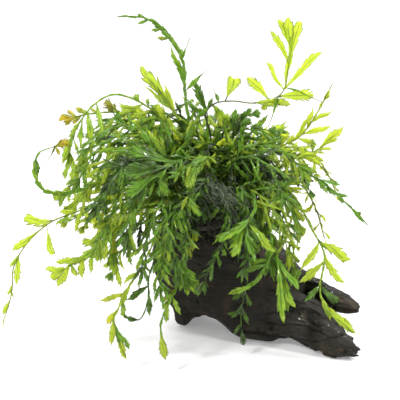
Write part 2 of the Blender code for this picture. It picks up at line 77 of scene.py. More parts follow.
class Flow:
    """One output of a tree's nodes, to reckon with in plain Python."""

    def __init__(self, tree, socket=None):
        self.tree, self.socket = tree, socket

    def node(self, kind, settings=None, inputs=None, output=0):
        """Any node: first its settings, then the values or links of its sockets."""
        made = self.tree.nodes.new(kind)
        for key, value in (settings or {}).items():
            setattr(made, key, value)
        for key, value in (inputs or {}).items():
            if isinstance(value, Flow):
                self.tree.links.new(value.socket, made.inputs[key])
            else:
                made.inputs[key].default_value = value
        return Flow(self.tree, made.outputs[output] if made.outputs else None)

    def reckon(self, operation, *values):
        return self.node("ShaderNodeMath", {"operation": operation}, dict(enumerate(values)))

    def __add__(self, other):
        return self.reckon("ADD", self, other)

    def __radd__(self, other):
        return self.reckon("ADD", other, self)

    def __sub__(self, other):
        return self.reckon("SUBTRACT", self, other)

    def __rsub__(self, other):
        return self.reckon("SUBTRACT", other, self)

    def __mul__(self, other):
        return self.reckon("MULTIPLY", self, other)

    def __rmul__(self, other):
        return self.reckon("MULTIPLY", other, self)

    def __abs__(self):
        return self.reckon("ABSOLUTE", self)

    def part(self):
        """What it has over a whole number."""
        return self.reckon("FRACT", self)

    def clear_step(self, low, high):
        """0 below low, 1 above high, and a smooth rise between them."""
        return self.node("ShaderNodeMapRange", {"interpolation_type": "SMOOTHSTEP"},
                         {"Value": self, "From Min": low, "From Max": high})

    def mix(self, a, b):
        """Colour a where this is 0 and b where it is 1."""
        a, b = (c if isinstance(c, Flow) else (*c, 1) for c in (a, b))
        return self.node("ShaderNodeMix", {"data_type": "RGBA"}, {0: self, 6: a, 7: b}, output=2)

    def here(self):
        """Where a point of the object is, in metres."""
        return self.node("ShaderNodeTexCoord", output=3)

    def speckle(self, size, detail, rough=0.55):
        """Noise from 0 to 1 at this place, with features of a size in metres."""
        return self.node("ShaderNodeTexNoise", {},
                         {"Vector": self, "Scale": 1 / size, "Detail": detail, "Roughness": rough})

    def bump(self, strength, depth):
        """A bump that takes this as its height."""
        return self.node("ShaderNodeBump", {}, {"Strength": strength, "Distance": depth, "Height": self})

    def mark(self, name):
        """What a mesh holds at each of its points under this name."""
        return self.node("ShaderNodeAttribute", {"attribute_type": "GEOMETRY", "attribute_name": name},
                         output=2)

    def gloss(self, sockets):
        return self.node("ShaderNodeBsdfPrincipled", {}, sockets)


def new_material(name, finish):
    """A material whose surface is the shader that `finish` makes in an empty tree."""
    made = bpy.data.materials.new(name)
    made.use_nodes = True
    made.node_tree.nodes.clear()
    start = Flow(made.node_tree)
    start.node("ShaderNodeOutputMaterial", {}, {"Surface": finish(start)})
    return made


def placed(name, data):
    """A new object in the scene."""
    made = bpy.data.objects.new(name, data)
    bpy.context.scene.collection.objects.link(made)
    return made


def floor_paint(start):
    return start.gloss({"Base Color": FLOOR_GREY, "Roughness": FLOOR_ROUGH, "Emission Color": WHITE,
                        "Emission Strength": FLOOR_GLOW})


scene = bpy.context.scene
scene.view_settings.view_transform = "Standard"
lens = bpy.data.cameras.new("camera")
lens.lens = LENS
lens.clip_start = NEAREST_SEEN
camera = placed("camera", lens)
camera.location = LOOK_AT + Vector((0, -math.cos(LOOK_DOWN), math.sin(LOOK_DOWN))) * CAMERA_DISTANCE
camera.rotation_euler = (math.pi / 2 - LOOK_DOWN, 0, 0)
scene.camera = camera

world = bpy.data.worlds.new("white_studio")
world.use_nodes = True
air = Flow(world.node_tree)
toward_back = air.node("ShaderNodeSeparateXYZ", {}, {0: air.node("ShaderNodeTexCoord")}, output=1)
glow = air.node("ShaderNodeMapRange", {}, {"Value": toward_back, "From Min": -1.0, "To Min": FRONT_GLOW,
                                           "To Max": BACK_GLOW})
straight_seen = air.node("ShaderNodeLightPath")
strength = air.node("ShaderNodeMix", {}, {"Factor": straight_seen, "A": glow, "B": 1.0})
backdrop = world.node_tree.nodes["Background"].inputs
backdrop["Color"].default_value = WHITE
world.node_tree.links.new(strength.socket, backdrop["Strength"])
scene.world = world

half = FLOOR_SIZE / 2
floor_mesh = bpy.data.meshes.new("floor")
floor_mesh.from_pydata([(x * half, y * half, -FLOOR_GAP) for x, y in ((-1, -1), (1, -1), (1, 1), (-1, 1))],
                       [], [(0, 1, 2, 3)])
floor_mesh.materials.append(new_material("floor_paint", floor_paint))
placed("floor", floor_mesh)

sun = bpy.data.lights.new("ceiling_light", "SUN")
sun.energy = CEILING_POWER
sun.angle = CEILING_SPREAD
placed("ceiling_light", sun).rotation_euler = CEILING_TURN
for name, (place, power) in LAMPS.items():
    lamp = bpy.data.lights.new(name, "AREA")
    lamp.size = LAMP_SIZE
    lamp.energy = power
    light = placed(name, lamp)
    light.location = place
    light.rotation_euler = (LOOK_AT - Vector(place)).to_track_quat("-Z", "Y").to_euler()


# The driftwood
# A forked piece of bogwood, near black from years under water, with fine grain along it, a split along
# the foot of its front, broken prongs and worn-in pits. It grew as one piece, so it is one skin here.
FOOT = Vector((-2.6, 18.9, 0.0))         # where the log's own measures start, in mm on the plant's layout
MIDDLE = Vector((0.0, 25.0, 0.0))        # the layout's place that is the frame's origin
LOG_TURN = math.radians(-27.0)
ALONG = Vector((math.cos(LOG_TURN), math.sin(LOG_TURN), 0.0))
ACROSS = Vector((-math.sin(LOG_TURN), math.cos(LOG_TURN), 0.0))
WOOD_NODES = ("driftwood_trunk", "driftwood_front_prong", "driftwood_back_prong")
WOOD_VOXEL, WELD_GAP = 0.85 * MM, 0.01 * MM
SMOOTH_ROUNDS, SMOOTH_SHARE = 8, 0.5
# The noise in its relief, in the order of its seeds: the size of its features along, across and up
GRAIN = {"lumps": (30, 16, 16), "flutes": (55, 6.5, 6.5), "ridges": (34, 3.6, 3.6), "fibres": (15, 1.5, 1.5),
         "pits": (5, 3.2, 3.2), "cracks": (70, 9, 9), "wander": (6, 6, 6), "splinters": (40, 2.6, 2.6)}
SEED_STEP = 17.3
LUMP, FLUTE, RIDGE, FIBRE, SUNK = 1.3, 0.8, 0.75, 0.28, 0.5      # heights, and how far all is drawn in
FACES_FRONT, FACES_END = (0.0, 1.6), (0.35, 2.2)                 # from which slope on, and how sharply
RIDGES_FROM, CRACKS_FROM, ROUGHER_OVER = (60, 0.35), (40, 0.25), 30
SMOOTH_FRONT = 0.4
PIT_DEPTH, PIT_FROM = 5.0, 0.42
CRACK_DEPTH, CRACK_WIDTH = 1.9, 0.035
SPLIT = ((44, 6.6), (50, 7.2), (62, 7.6), (70, 7.0), (78, 5.3), (90, 3.9), (101, 2.4), (110, 1.6))
SPLIT_DEPTH, SPLIT_WIDTH, SPLIT_WANDER, SPLIT_FADE = 2.6, 0.9, 0.7, 4
FACE_EDGE = ((-4, 18.5), (0.6, 15.5), (16.7, 8.4), (25, 6.6), (34, 3.0))
# The ridges along the face's edge and round the knot: their height, how far off its line, and width
LIP, GROOVE, LIP_SPAN = (1.3, 0.5, 1.0), (-1.6, -1.8, 1.5), (-6, 40)
KNOT_ALONG, KNOT_HEIGHT = 69.0, 13.0
KNOT_RIM, KNOT_HOLE = (0.9, 2.4, 0.9), (-1.8, 0.0, 1.3)
ENDS_FROM, END_CUT, SPLINTER = 102.0, 3.0, 5.0
BOG_BLACK, BOG_BROWN = (0.0150, 0.0134, 0.0098), (0.050, 0.034, 0.018)
FIBRE_GREY, PORE_BLACK = (0.050, 0.044, 0.034), (0.003, 0.003, 0.003)
LONG_GRAIN, FINE_GRAIN, PATCH, PORE = 3.0 * MM, 0.8 * MM, 16 * MM, 1.1 * MM
GRAIN_STRETCH = (0.10, 1.0, 1.0)
DROP, WET_PATCH, WET_FROM = 1.5 * MM, 20 * MM, (0.062, 0.100)    # it is wet from so far along the log, in m


def bogwood(start):
    place = start.here()
    turned = start.node("ShaderNodeMapping", {"vector_type": "POINT"},
                        {"Vector": place, "Rotation": (0, 0, -LOG_TURN)})
    fibres = start.node("ShaderNodeVectorMath", {"operation": "MULTIPLY"}, {0: turned, 1: GRAIN_STRETCH})
    long_grain = fibres.speckle(LONG_GRAIN, 4.0)
    fine_grain = fibres.speckle(FINE_GRAIN, 4.0, 0.6)
    pores = place.speckle(PORE, 2.0)
    brown = place.speckle(PATCH, 3.0).clear_step(0.50, 0.68) * long_grain.clear_step(0.35, 0.62)
    colour = brown.mix(BOG_BLACK, BOG_BROWN)
    colour = (fine_grain.clear_step(0.54, 0.74) * 0.60).mix(colour, FIBRE_GREY)
    colour = (pores.clear_step(0.60, 0.70) * 0.7).mix(colour, PORE_BLACK)
    drops = place.speckle(DROP, 4.0, 0.65).clear_step(0.57, 0.62)
    along = start.node("ShaderNodeSeparateXYZ", {}, {"Vector": turned})
    wet = drops * place.speckle(WET_PATCH, 2.0).clear_step(0.48, 0.56) * along.clear_step(*WET_FROM)
    height = 0.55 * long_grain + 0.30 * fine_grain - 0.35 * pores.clear_step(0.58, 0.70) + 0.8 * wet
    return start.gloss({
        "Base Color": colour, "Roughness": 0.42 + 0.30 * long_grain + 0.14 * brown,
        "Specular IOR Level": 0.15, "Normal": height.bump(0.8, 0.6 * MM), "Coat Weight": wet,
        "Coat Roughness": 0.08, "Coat IOR": 2.0})


def joined_wood():
    """The log's solids as one even skin."""
    points, faces = [], []
    for node in WOOD_NODES:
        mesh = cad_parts[node].data
        first = len(points)
        points += [tuple(v.co) for v in mesh.vertices]
        faces += [[first + k for k in f.vertices] for f in mesh.polygons]
    joined = bpy.data.meshes.new("wood_start")
    joined.from_pydata(points, [], faces)
    raw = placed("wood_start", joined)
    raw.modifiers.new("weld", "WELD").merge_threshold = WELD_GAP
    remesh = raw.modifiers.new("remesh", "REMESH")
    remesh.mode = "VOXEL"
    remesh.voxel_size = WOOD_VOXEL
    made = bpy.data.meshes.new_from_object(raw.evaluated_get(bpy.context.evaluated_depsgraph_get()))
    bpy.data.objects.remove(raw, do_unlink=True)
    made.name = "driftwood"
    return made


def smoothed(points, edges):
    """The points, each drawn to the middle of its neighbours a number of times."""
    count = np.bincount(edges.ravel(), minlength=len(points))[:, None]
    for _ in range(SMOOTH_ROUNDS):
        total = np.zeros_like(points)
        np.add.at(total, edges[:, 0], points[edges[:, 1]])
        np.add.at(total, edges[:, 1], points[edges[:, 0]])
        points = points + (total / count - points) * SMOOTH_SHARE
    return points


def run_noise(places, scales, seed):
    """Noise about from -1 to 1 at each place, with its features stretched to these sizes."""
    scaled = places / np.array(scales) + seed * SEED_STEP
    return np.array([noise.noise(p) for p in scaled.tolist()])


def from_line(line, a, h):
    """How far points at (a, h) are above a line that is given by its corners."""
    return h - np.interp(a, [p[0] for p in line], [p[1] for p in line])


def bell(off, width):
    """1 where off is 0, falling to 0 over about this width to both sides."""
    return np.exp(-(off / width) ** 2)


def looking(normals, way, least, gain):
    """From 0 to 1, how much of the skin looks this way."""
    return np.clip((normals @ np.array(way) - least) * gain, 0, 1)


def relief(p, n):
    """Points p of the log's skin, in mm, worked in and out along their normals n, with broken ends."""
    local = p + np.array(MIDDLE - FOOT)
    log = np.stack([local @ np.array(ALONG), local @ np.array(ACROSS), local[:, 2]], axis=1)
    a, h = log[:, 0], log[:, 2]
    front = looking(n, -ACROSS, *FACES_FRONT)
    grain = {name: run_noise(log, sizes, seed) for seed, (name, sizes) in enumerate(GRAIN.items(), 1)}
    raised, torn = (np.clip((a - start) / ROUGHER_OVER, least, 1)
                    for start, least in (RIDGES_FROM, CRACKS_FROM))
    move = LUMP * grain["lumps"] - SUNK + FLUTE * grain["flutes"] + FIBRE * grain["fibres"]
    move += raised * RIDGE * (1 - 2 * np.abs(grain["ridges"])) * (1 - SMOOTH_FRONT * front)
    move -= PIT_DEPTH * np.clip(grain["pits"] - PIT_FROM, 0, 1)
    move -= CRACK_DEPTH * bell(grain["cracks"], CRACK_WIDTH) * torn
    split = from_line(SPLIT, a, h) + SPLIT_WANDER * grain["wander"]
    within = np.clip((a - SPLIT[0][0]) / SPLIT_FADE, 0, 1) * np.clip((SPLIT[-1][0] - a) / SPLIT_FADE, 0, 1)
    move -= SPLIT_DEPTH * bell(split, SPLIT_WIDTH) * front * within
    edge = from_line(FACE_EDGE, a, h)
    for height, above, width in (LIP, GROOVE):
        move += height * bell(edge - above, width) * front * (a > LIP_SPAN[0]) * (a < LIP_SPAN[1])
    knot = np.hypot(a - KNOT_ALONG, h - KNOT_HEIGHT)
    for height, out, width in (KNOT_RIM, KNOT_HOLE):
        move += height * bell(knot - out, width) * front
    cut = looking(n, ALONG, *FACES_END) * (a > ENDS_FROM) * (END_CUT + SPLINTER * grain["splinters"])
    p = p + n * move[:, None] - np.array(ALONG) * cut[:, None]
    p[:, 2] = np.maximum(p[:, 2], 0.0)
    return p


def driftwood_skin():
    made = joined_wood()
    p, n = np.empty(len(made.vertices) * 3), np.empty(len(made.vertices) * 3)
    edges = np.empty(len(made.edges) * 2, dtype=np.int64)
    made.vertices.foreach_get("co", p)
    made.edges.foreach_get("vertices", edges)
    p = smoothed(p.reshape(-1, 3) / MM, edges.reshape(-1, 2))
    made.vertices.foreach_set("co", (p * MM).ravel())
    made.update()
    made.vertex_normals.foreach_get("vector", n)
    made.vertices.foreach_set("co", (relief(p, n.reshape(-1, 3)) * MM).ravel())
    made.update()
    made.polygons.foreach_set("use_smooth", np.ones(len(made.polygons), dtype=bool))
    return made


wood = placed("driftwood", driftwood_skin())
wood.data.materials.clear()
wood.data.materials.append(new_material("bogwood", bogwood))
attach(wood, "root")
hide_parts(*WOOD_NODES)


# The rhizomes
# Three creeping stems as thick as a pencil lead, which lie on top of the log and grow round it. They
# are dark green where they are young, with brown scales, and every frond grows from one of them.
GAP = 0.3
RHIZOME_R = 2.2
RHIZOME_START, RHIZOME_END, RHIZOME_SPANS = -13.0, 50.0, 11
ROWS = {"front": 9.0, "middle": 18.5, "back": 28.0}
RHIZOME_WAVE, WAVE_RATE = 1.2, 0.16
RHIZOME_STEP, RHIZOME_SIDES = 0.8, 14
KNUCKLES = ((0.10, 61), (0.06, 113))     # how much thicker it gets at its knuckles, and how often
SKIN_DEPTH, MOST_SWELL = 0.15, 0.2
BLUNT, TAPER = 0.35, 8                   # how thick its ends are, and how fast it thickens from them
ABOVE_ALL, LIFT, OFF_WOOD = 200.0, 0.1, 2.5 * GAP
CURVE_STEPS = 12
RIM = 4.0                                # how deep inside the box its rim starts to draw points in
YOUNG_SKIN, SCALE_BROWN = (0.022, 0.028, 0.010), (0.060, 0.036, 0.016)
SCALES = 1.4 * MM


def node_tree(name):
    """A CAD node's surface, in millimetres on the plant's own layout."""
    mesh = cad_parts[name].data
    return BVHTree.FromPolygons([v.co / MM + MIDDLE for v in mesh.vertices],
                                [tuple(f.vertices) for f in mesh.polygons], epsilon=0.0)


def lie_on(trunk, along, across):
    """The middle of a rhizome that lies on the trunk at this place."""
    start = FOOT + ALONG * along + ACROSS * across + Vector((0, 0, ABOVE_ALL))
    middle = trunk.ray_cast(start, Vector((0, 0, -1)))[0] + Vector((0, 0, RHIZOME_R))
    while trunk.find_nearest(middle)[3] < RHIZOME_R + OFF_WOOD:
        middle.z += LIFT
    return middle


def smooth_route(points, step):
    """Points about `step` apart on a smooth curve through the given ones, ends included."""
    ends = [points[0] * 2 - points[1]] + list(points) + [points[-1] * 2 - points[-2]]
    fine = []
    for a, b, c, d in zip(ends, ends[1:], ends[2:], ends[3:]):
        before, span, after = (math.sqrt((q - p).length) for p, q in ((a, b), (b, c), (c, d)))
        leave = c - b + ((b - a) / before - (c - a) / (before + span)) * span
        reach = c - b + ((d - c) / after - (d - b) / (span + after)) * span
        for i in range(CURVE_STEPS):
            t = i / CURVE_STEPS
            fine.append(b + leave * t + ((c - b) * 3 - leave * 2 - reach) * t ** 2
                        + (leave + reach - (c - b) * 2) * t ** 3)
    fine.append(points[-1].copy())
    run = [0.0]
    for a, b in zip(fine, fine[1:]):
        run.append(run[-1] + (b - a).length)
    count = max(2, round(run[-1] / step))
    even, j = [], 0
    for i in range(count + 1):
        want = run[-1] * i / count
        while j < len(fine) - 2 and run[j + 1] < want:
            j += 1
        even.append(fine[j].lerp(fine[j + 1], min(1.0, (want - run[j]) / (run[j + 1] - run[j]))))
    return even


def within_box(points):
    """The points in millimetres, with any near or past the plant's own box drawn in smoothly."""
    low, high = np.array(cad_box) / MM
    low[2] = -RIM * 2
    for sign, wall in ((1, high), (-1, low)):
        past = sign * (points - wall) + RIM
        points = wall + sign * (np.where(past > 0, np.tanh(past / RIM) * RIM, past) - RIM)
    return points


def unit(rows):
    return rows / np.linalg.norm(rows, axis=-1, keepdims=True)


class Skin:
    """Closed skins that are gathered into one mesh, with what the material has to know of each point:
    along and across the leaf, its tone with painted shade and light, how orange it is and how much it is
    stem."""
    MARKS = ("leaf_along", "leaf_across", "leaf_tone", "leaf_gold", "leaf_stem")

    def __init__(self):
        self.points, self.loops, self.sizes, self.marks, self.count = [], [], [], [], 0

    def add(self, points, quads, caps, marks):
        self.points.append(points)
        self.marks.append(marks)
        self.loops.append(quads.ravel() + self.count)
        self.sizes.append(np.full(len(quads), 4))
        for cap in caps:
            self.loops.append(np.asarray(cap) + self.count)
            self.sizes.append(np.array([len(cap)]))
        self.count += len(points)

    def tube(self, middles, sides, ups, radii, marks, around):
        """A round stem through its middles. Marks are one row for each middle."""
        turn = 2 * np.pi * np.arange(around) / around
        ring = sides[:, None] * np.cos(turn)[None, :, None] - ups[:, None] * np.sin(turn)[None, :, None]
        points = (middles[:, None] + ring * radii[:, None, None]).reshape(-1, 3)
        index = np.arange(len(points)).reshape(-1, around)
        after = np.roll(index, -1, axis=1)
        quads = np.stack([index[:-1], after[:-1], after[1:], index[1:]], axis=2).reshape(-1, 4)
        self.add(points, quads, [index[0][::-1], index[-1]], np.repeat(marks, around, axis=0))

    def piece(self, name, material, node=None):
        """The gathered skins as one piece of the plant, in the place of a CAD node if one is named."""
        points = within_box(np.concatenate(self.points) - np.array(MIDDLE)) * MM
        loops, sizes = np.concatenate(self.loops), np.concatenate(self.sizes)
        mesh = bpy.data.meshes.new(name)
        mesh.vertices.add(len(points))
        mesh.vertices.foreach_set("co", points.ravel())
        mesh.loops.add(len(loops))
        mesh.loops.foreach_set("vertex_index", loops.astype(np.int32))
        mesh.polygons.add(len(sizes))
        starts = np.concatenate([[0], np.cumsum(sizes)[:-1]])
        mesh.polygons.foreach_set("loop_start", starts.astype(np.int32))
        mesh.polygons.foreach_set("use_smooth", np.ones(len(sizes), dtype=bool))
        mesh.update(calc_edges=True)
        marks = np.concatenate(self.marks)
        for k, mark in enumerate(self.MARKS):
            mesh.attributes.new(mark, "FLOAT", "POINT").data.foreach_set("value", marks[:, k].copy())
        mesh.materials.append(material)
        made = placed(name, mesh)
        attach(made, "root")
        if node:
            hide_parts(node)


def rhizome_skin(start):
    scales = start.here().speckle(SCALES, 3.0)
    return start.gloss({"Base Color": scales.clear_step(0.42, 0.62).mix(YOUNG_SKIN, SCALE_BROWN),
                        "Roughness": 0.5 + 0.2 * scales, "Normal": scales.bump(0.9, 0.5 * MM)})


trunk_tree = node_tree("driftwood_trunk")
rhizome_middles = {}
scaly = new_material("rhizome_skin", rhizome_skin)
for row, across in ROWS.items():
    places = []
    for i in range(RHIZOME_SPANS + 1):
        along = RHIZOME_START + (RHIZOME_END - RHIZOME_START) * i / RHIZOME_SPANS
        places.append(lie_on(trunk_tree, along, across + RHIZOME_WAVE * math.sin(WAVE_RATE * along + across)))
    rhizome_middles[row] = places
    line = np.array([tuple(p) for p in smooth_route(places, RHIZOME_STEP)])
    way = unit(np.gradient(line, axis=0))
    side = unit(np.cross(way, (0, 0, 1.0)))
    share = np.linspace(0, 1, len(line))
    (low, seldom), (small, often) = KNUCKLES
    knuckles = 1 + low * np.sin(share * seldom + across) + small * np.sin(share * often)
    blunt = np.minimum(1, BLUNT + TAPER * np.minimum(share, 1 - share)) ** 0.5
    radius = np.minimum((RHIZOME_R - SKIN_DEPTH) * knuckles * blunt, RHIZOME_R + MOST_SWELL)
    skin = Skin()
    skin.tube(line, side, np.cross(side, way), radius, np.zeros((len(line), 5)), RHIZOME_SIDES)
    skin.piece("rhizome_stem_" + row, scaly, "rhizome_" + row)


# The fronds
# Each frond grew as one piece: a thin black stalk that arches over, with narrow toothed leaflets on its
# two sides in turn. They are wet and thin enough to let light through, and some end orange or in a dry curl.
# Their dark green at the crown is painted shade and their yellow-green at the rim painted light, on top
# of a tone that differs from leaf to leaf.
Frond = namedtuple("Frond", "name row route facing bare leaflet pitch tone kind wing inner")
Filler = namedtuple("Filler", "name row angle reach rise fall tone")
Kind = namedtuple("Kind", "stem foot widest rise fall teeth depth sweep tail fork")
Seen = namedtuple("Seen", "foot_x foot_y tip_x tip_y width kind gold tone bow", defaults=(0.0, 0.0, 0.0))
VIEWER = Vector((0.0, -0.966, 0.259))
LEFT_VIEW = Vector((-0.35, -0.85, 0.40))
RIGHT_VIEW = Vector((0.35, -0.85, 0.40))
# How a kind of leaflet is cut, as shares of its length and half width: its bare stem, how broad its
# foot is, where it is widest, how straight it swells and ends (1 is round, more is hollow), the teeth
# on each side with their depth and how far they sweep forward, its dry tail, and how often it forks
LANCE = Kind(0.03, 0.36, 0.40, 0.65, 1.05, 4.0, 0.62, 1.1, 0.05, 0.15)
TOOTHED = Kind(0.05, 0.26, 0.48, 0.80, 0.88, 5.0, 0.75, 1.3, 0.03, 0.15)
LOBED = Kind(0.04, 0.32, 0.46, 0.80, 0.92, 3.5, 0.95, 1.6, 0.03, 0.60)
SESSILE = Kind(0.0, 0.70, 0.40, 0.70, 0.95, 4.0, 0.60, 1.1, 0.03, 0.25)
FEATHERY = Kind(0.0, 0.30, 0.50, 0.90, 0.95, 9.0, 0.90, 2.0, 0.04, 0.0)
WEDGE = Kind(0.16, 0.10, 0.74, 1.10, 0.40, 5.0, 0.35, 0.6, 0.0, 0.0)
CROWNED = Kind(0.0, 0.26, 0.66, 1.00, 0.70, 4.0, 0.55, 1.2, 0.0, 0.0)
WAVY = Kind(0.0, 0.30, 0.62, 0.90, 0.90, 4.0, 0.55, 1.1, 0.02, 0.0)
SLIM = Kind(0.0, 0.50, 0.35, 1.00, 1.10, 1.5, 0.20, 0.6, 0.35, 0.0)
TAILED = Kind(0.05, 0.20, 0.40, 0.90, 1.00, 4.0, 0.55, 1.0, 0.30, 0.0)
STALK_W, STALK_TIP_W, STALK_SIDES = 1.35, 0.75, 5
STALK_DARK, LESS_DARK = 1.40, 0.90       # how black it is at its foot, and how much less at its tip
ROUTE_STEP, BARE_STEP = 1.5, 13.0
FEWEST_LEAFLETS, MOST_LEAFLETS = 5, 9    # on a frond's solid
END_LEAFLET = 0.55
FACE_PULL = 0.15
ROOT_SPREAD, ROOT_LEAN, ROOT_RISE = (0.04, 0.96), 0.45, 7.0
CROWN_X, LEAD = 18.0, 0.6
# Each long frond by its row: its name, its leaflets' length and width, their pitch, the way it faces, its
# bare share, its tone with painted shade and light, its leaflets' kind, its wings' width, how far along it
# the leaflets go that aren't given one by one, and its route in mm on the plant's layout
STANDING = {
    "front": (
        ("left_low", (17, 5.0), 11.0, LEFT_VIEW, 0.30, 0.85, LANCE, 0.5, 0.42,
         ((-11, -2, 119), (-34, -18, 113), (-60, -28, 99), (-84, -34, 90), (-99, -34, 76), (-108, -32, 60),
          (-110, -30, 44), (-114, -28, 30), (-119, -26, 18))),
        ("left_facing", (15, 5.5), 7.5, VIEWER, 0.36, 0.72, SESSILE, 3.2, 0.55,
         ((-6, -8, 110), (-31, -34, 97), (-46, -44, 84), (-57, -50, 76), (-70, -52, 68), (-78, -54, 63))),
        ("front_left_hanging", (14, 4.5), 9.0, VIEWER, 0.38, 0.80, LOBED, 1.0, 0.46,
         ((-3, -12, 99), (-18, -38, 80), (-27, -50, 65), (-34, -55, 55), (-40, -58, 43), (-43, -60, 36),
          (-41, -60, 23), (-35, -60, 9))),
        ("front_left_curled", (12, 4.0), 9.0, VIEWER, 0.45, 0.30, LANCE, 0.9, 0.62,
         ((-1, -12, 96), (-15, -36, 74), (-22, -45, 58), (-22, -49, 47), (-24, -50, 39), (-28, -50, 32),
          (-36, -50, 33))),
        ("over_the_foot", (10, 4.5), 8.0, VIEWER, 0.45, 0.60, LOBED, 1.0, 0.50,
         ((7, -10, 90), (0, -34, 66), (-5, -46, 51), (-10, -54, 43), (-14, -59, 34), (-14, -61, 26),
          (-11, -61, 18), (-12, -61, 8))),
        ("front_bright", (14, 6.0), 7.0, VIEWER, 0.45, 0.50, LOBED, 2.2, 0.62,
         ((2, -8, 98), (-13, -30, 86), (-12, -42, 75), (-5, -47, 66), (3, -46, 56), (12, -42, 49))),
        ("front_dark_hanging", (11, 4.5), 8.0, VIEWER, 0.40, 0.22, LOBED, 0.6, 0.50,
         ((26, -8, 90), (37, -24, 71), (40, -30, 54), (38, -32, 42), (36, -33, 29), (37, -33, 7))),
        ("front_middle", (16, 6.0), 8.0, VIEWER, 0.50, 0.44, SESSILE, 1.6, 0.55,
         ((32, -15, 106), (44, -34, 103), (40, -42, 94), (22, -48, 81))),
        ("front_forked", (18, 5.5), 10.0, VIEWER, 0.45, 0.52, LANCE, 1.2, 0.50,
         ((36, -8, 101), (47, -26, 89), (51, -36, 74), (48, -40, 61), (42, -43, 52), (27, -46, 48))),
        ("front_right_bright", (22, 6.0), 10.0, VIEWER, 0.45, 0.52, LANCE, 1.4, 0.45,
         ((41, -8, 92), (53, -26, 82), (58, -36, 68), (60, -41, 55), (62, -44, 29))),
        ("right_low", (19, 5.5), 10.0, RIGHT_VIEW, 0.38, 0.70, LANCE, 1.0, 0.40,
         ((51, 1, 108), (68, -16, 104), (80, -25, 84), (88, -30, 69), (87, -34, 59), (85, -38, 48),
          (89, -42, 36), (108, -46, 20))),
    ),
    "middle": (
        ("left_curl", (12, 4.0), 11.0, VIEWER, 0.36, 0.60, LANCE, 2.0, 0.58,
         ((-8, 6, 116), (-32, -6, 118), (-51, -12, 108), (-68, -16, 103), (-80, -18, 103), (-89, -20, 107),
          (-94, -20, 119), (-91, -20, 131), (-79, -20, 136))),
        ("left_orange", (13, 4.5), 8.0, LEFT_VIEW, 0.38, 0.62, LANCE, 0.8, 0.66,
         ((-3, 12, 118), (-21, 8, 143), (-41, 4, 152), (-60, 2, 152), (-81, 0, 148))),
        ("left_arch", (20, 5.0), 8.5, LEFT_VIEW, 0.36, 0.66, LANCE, 0.9, 0.60,
         ((0, 6, 121), (-22, 0, 146), (-44, -6, 157), (-56, -9, 155), (-66, -11, 148), (-71, -12, 138),
          (-76, -12, 111))),
        ("top_blade", (13, 6.0), 8.0, VIEWER, 0.52, 0.72, TOOTHED, 1.2, 0.56,
         ((3, 14, 119), (-2, 8, 142), (-9, 4, 156), (-27, -2, 181))),
        ("top_arch", (11, 3.5), 8.5, VIEWER, 0.42, 0.52, LANCE, 1.4, 0.46,
         ((8, 12, 117), (3, 6, 144), (0, 2, 168), (0, 0, 181), (-5, -3, 195), (-15, -6, 208),
          (-25, -9, 214), (-42, -11, 215))),
        ("top_left_short", (12, 5.0), 8.0, VIEWER, 0.45, 0.40, TOOTHED, 0.6, 0.66,
         ((13, 19, 116), (14, 20, 135), (14, 17, 152), (6, 14, 171))),
        ("top_right", (19, 5.5), 11.0, VIEWER, 0.40, 1.0, LANCE, 0.0, 0.30,
         ((18, 14, 119), (16, 8, 139), (13, 4, 152), (19, 0, 159), (30, -2, 161), (43, -4, 160),
          (54, -5, 162), (62, -6, 168), (65, -6, 183), (68, -7, 211))),
        ("top_dark", (14, 6.0), 8.0, VIEWER, 0.45, 0.30, LOBED, 1.0, 0.55,
         ((25, 6, 122), (31, 0, 138), (35, -3, 149), (42, -4, 158))),
        ("top_slim", (12, 5.0), 8.0, VIEWER, 0.45, 0.60, LANCE, 0.6, 0.60,
         ((31, 10, 120), (41, 4, 137), (54, 0, 153))),
        ("top_right_small", (13, 5.0), 8.0, VIEWER, 0.45, 0.90, LANCE, 0.6, 0.60,
         ((37, 14, 118), (51, 11, 134), (67, 8, 147))),
        ("right_high", (16, 4.5), 8.5, VIEWER, 0.38, 0.92, LANCE, 0.8, 0.42,
         ((42, 16, 119), (63, 14, 128), (75, 13, 135), (84, 12, 148), (95, 9, 171))),
        ("right_level", (14, 5.0), 8.0, RIGHT_VIEW, 0.42, 0.85, LANCE, 0.8, 0.50,
         ((47, 6, 117), (67, -4, 123), (83, -8, 130), (101, -10, 147))),
        ("right_slim", (11, 4.0), 9.0, RIGHT_VIEW, 0.50, 0.45, LANCE, 1.1, 0.44,
         ((51, 0, 110), (70, -8, 116), (85, -12, 112), (98, -15, 102), (119, -17, 82))),
    ),
}
FRONDS = [Frond("frond_" + name, row, [Vector(p) for p in route], facing, bare, leaflet, pitch, tone,
                kind, wing, inner)
          for row, fronds in STANDING.items()
          for name, leaflet, pitch, facing, bare, tone, kind, wing, inner, route in fronds]
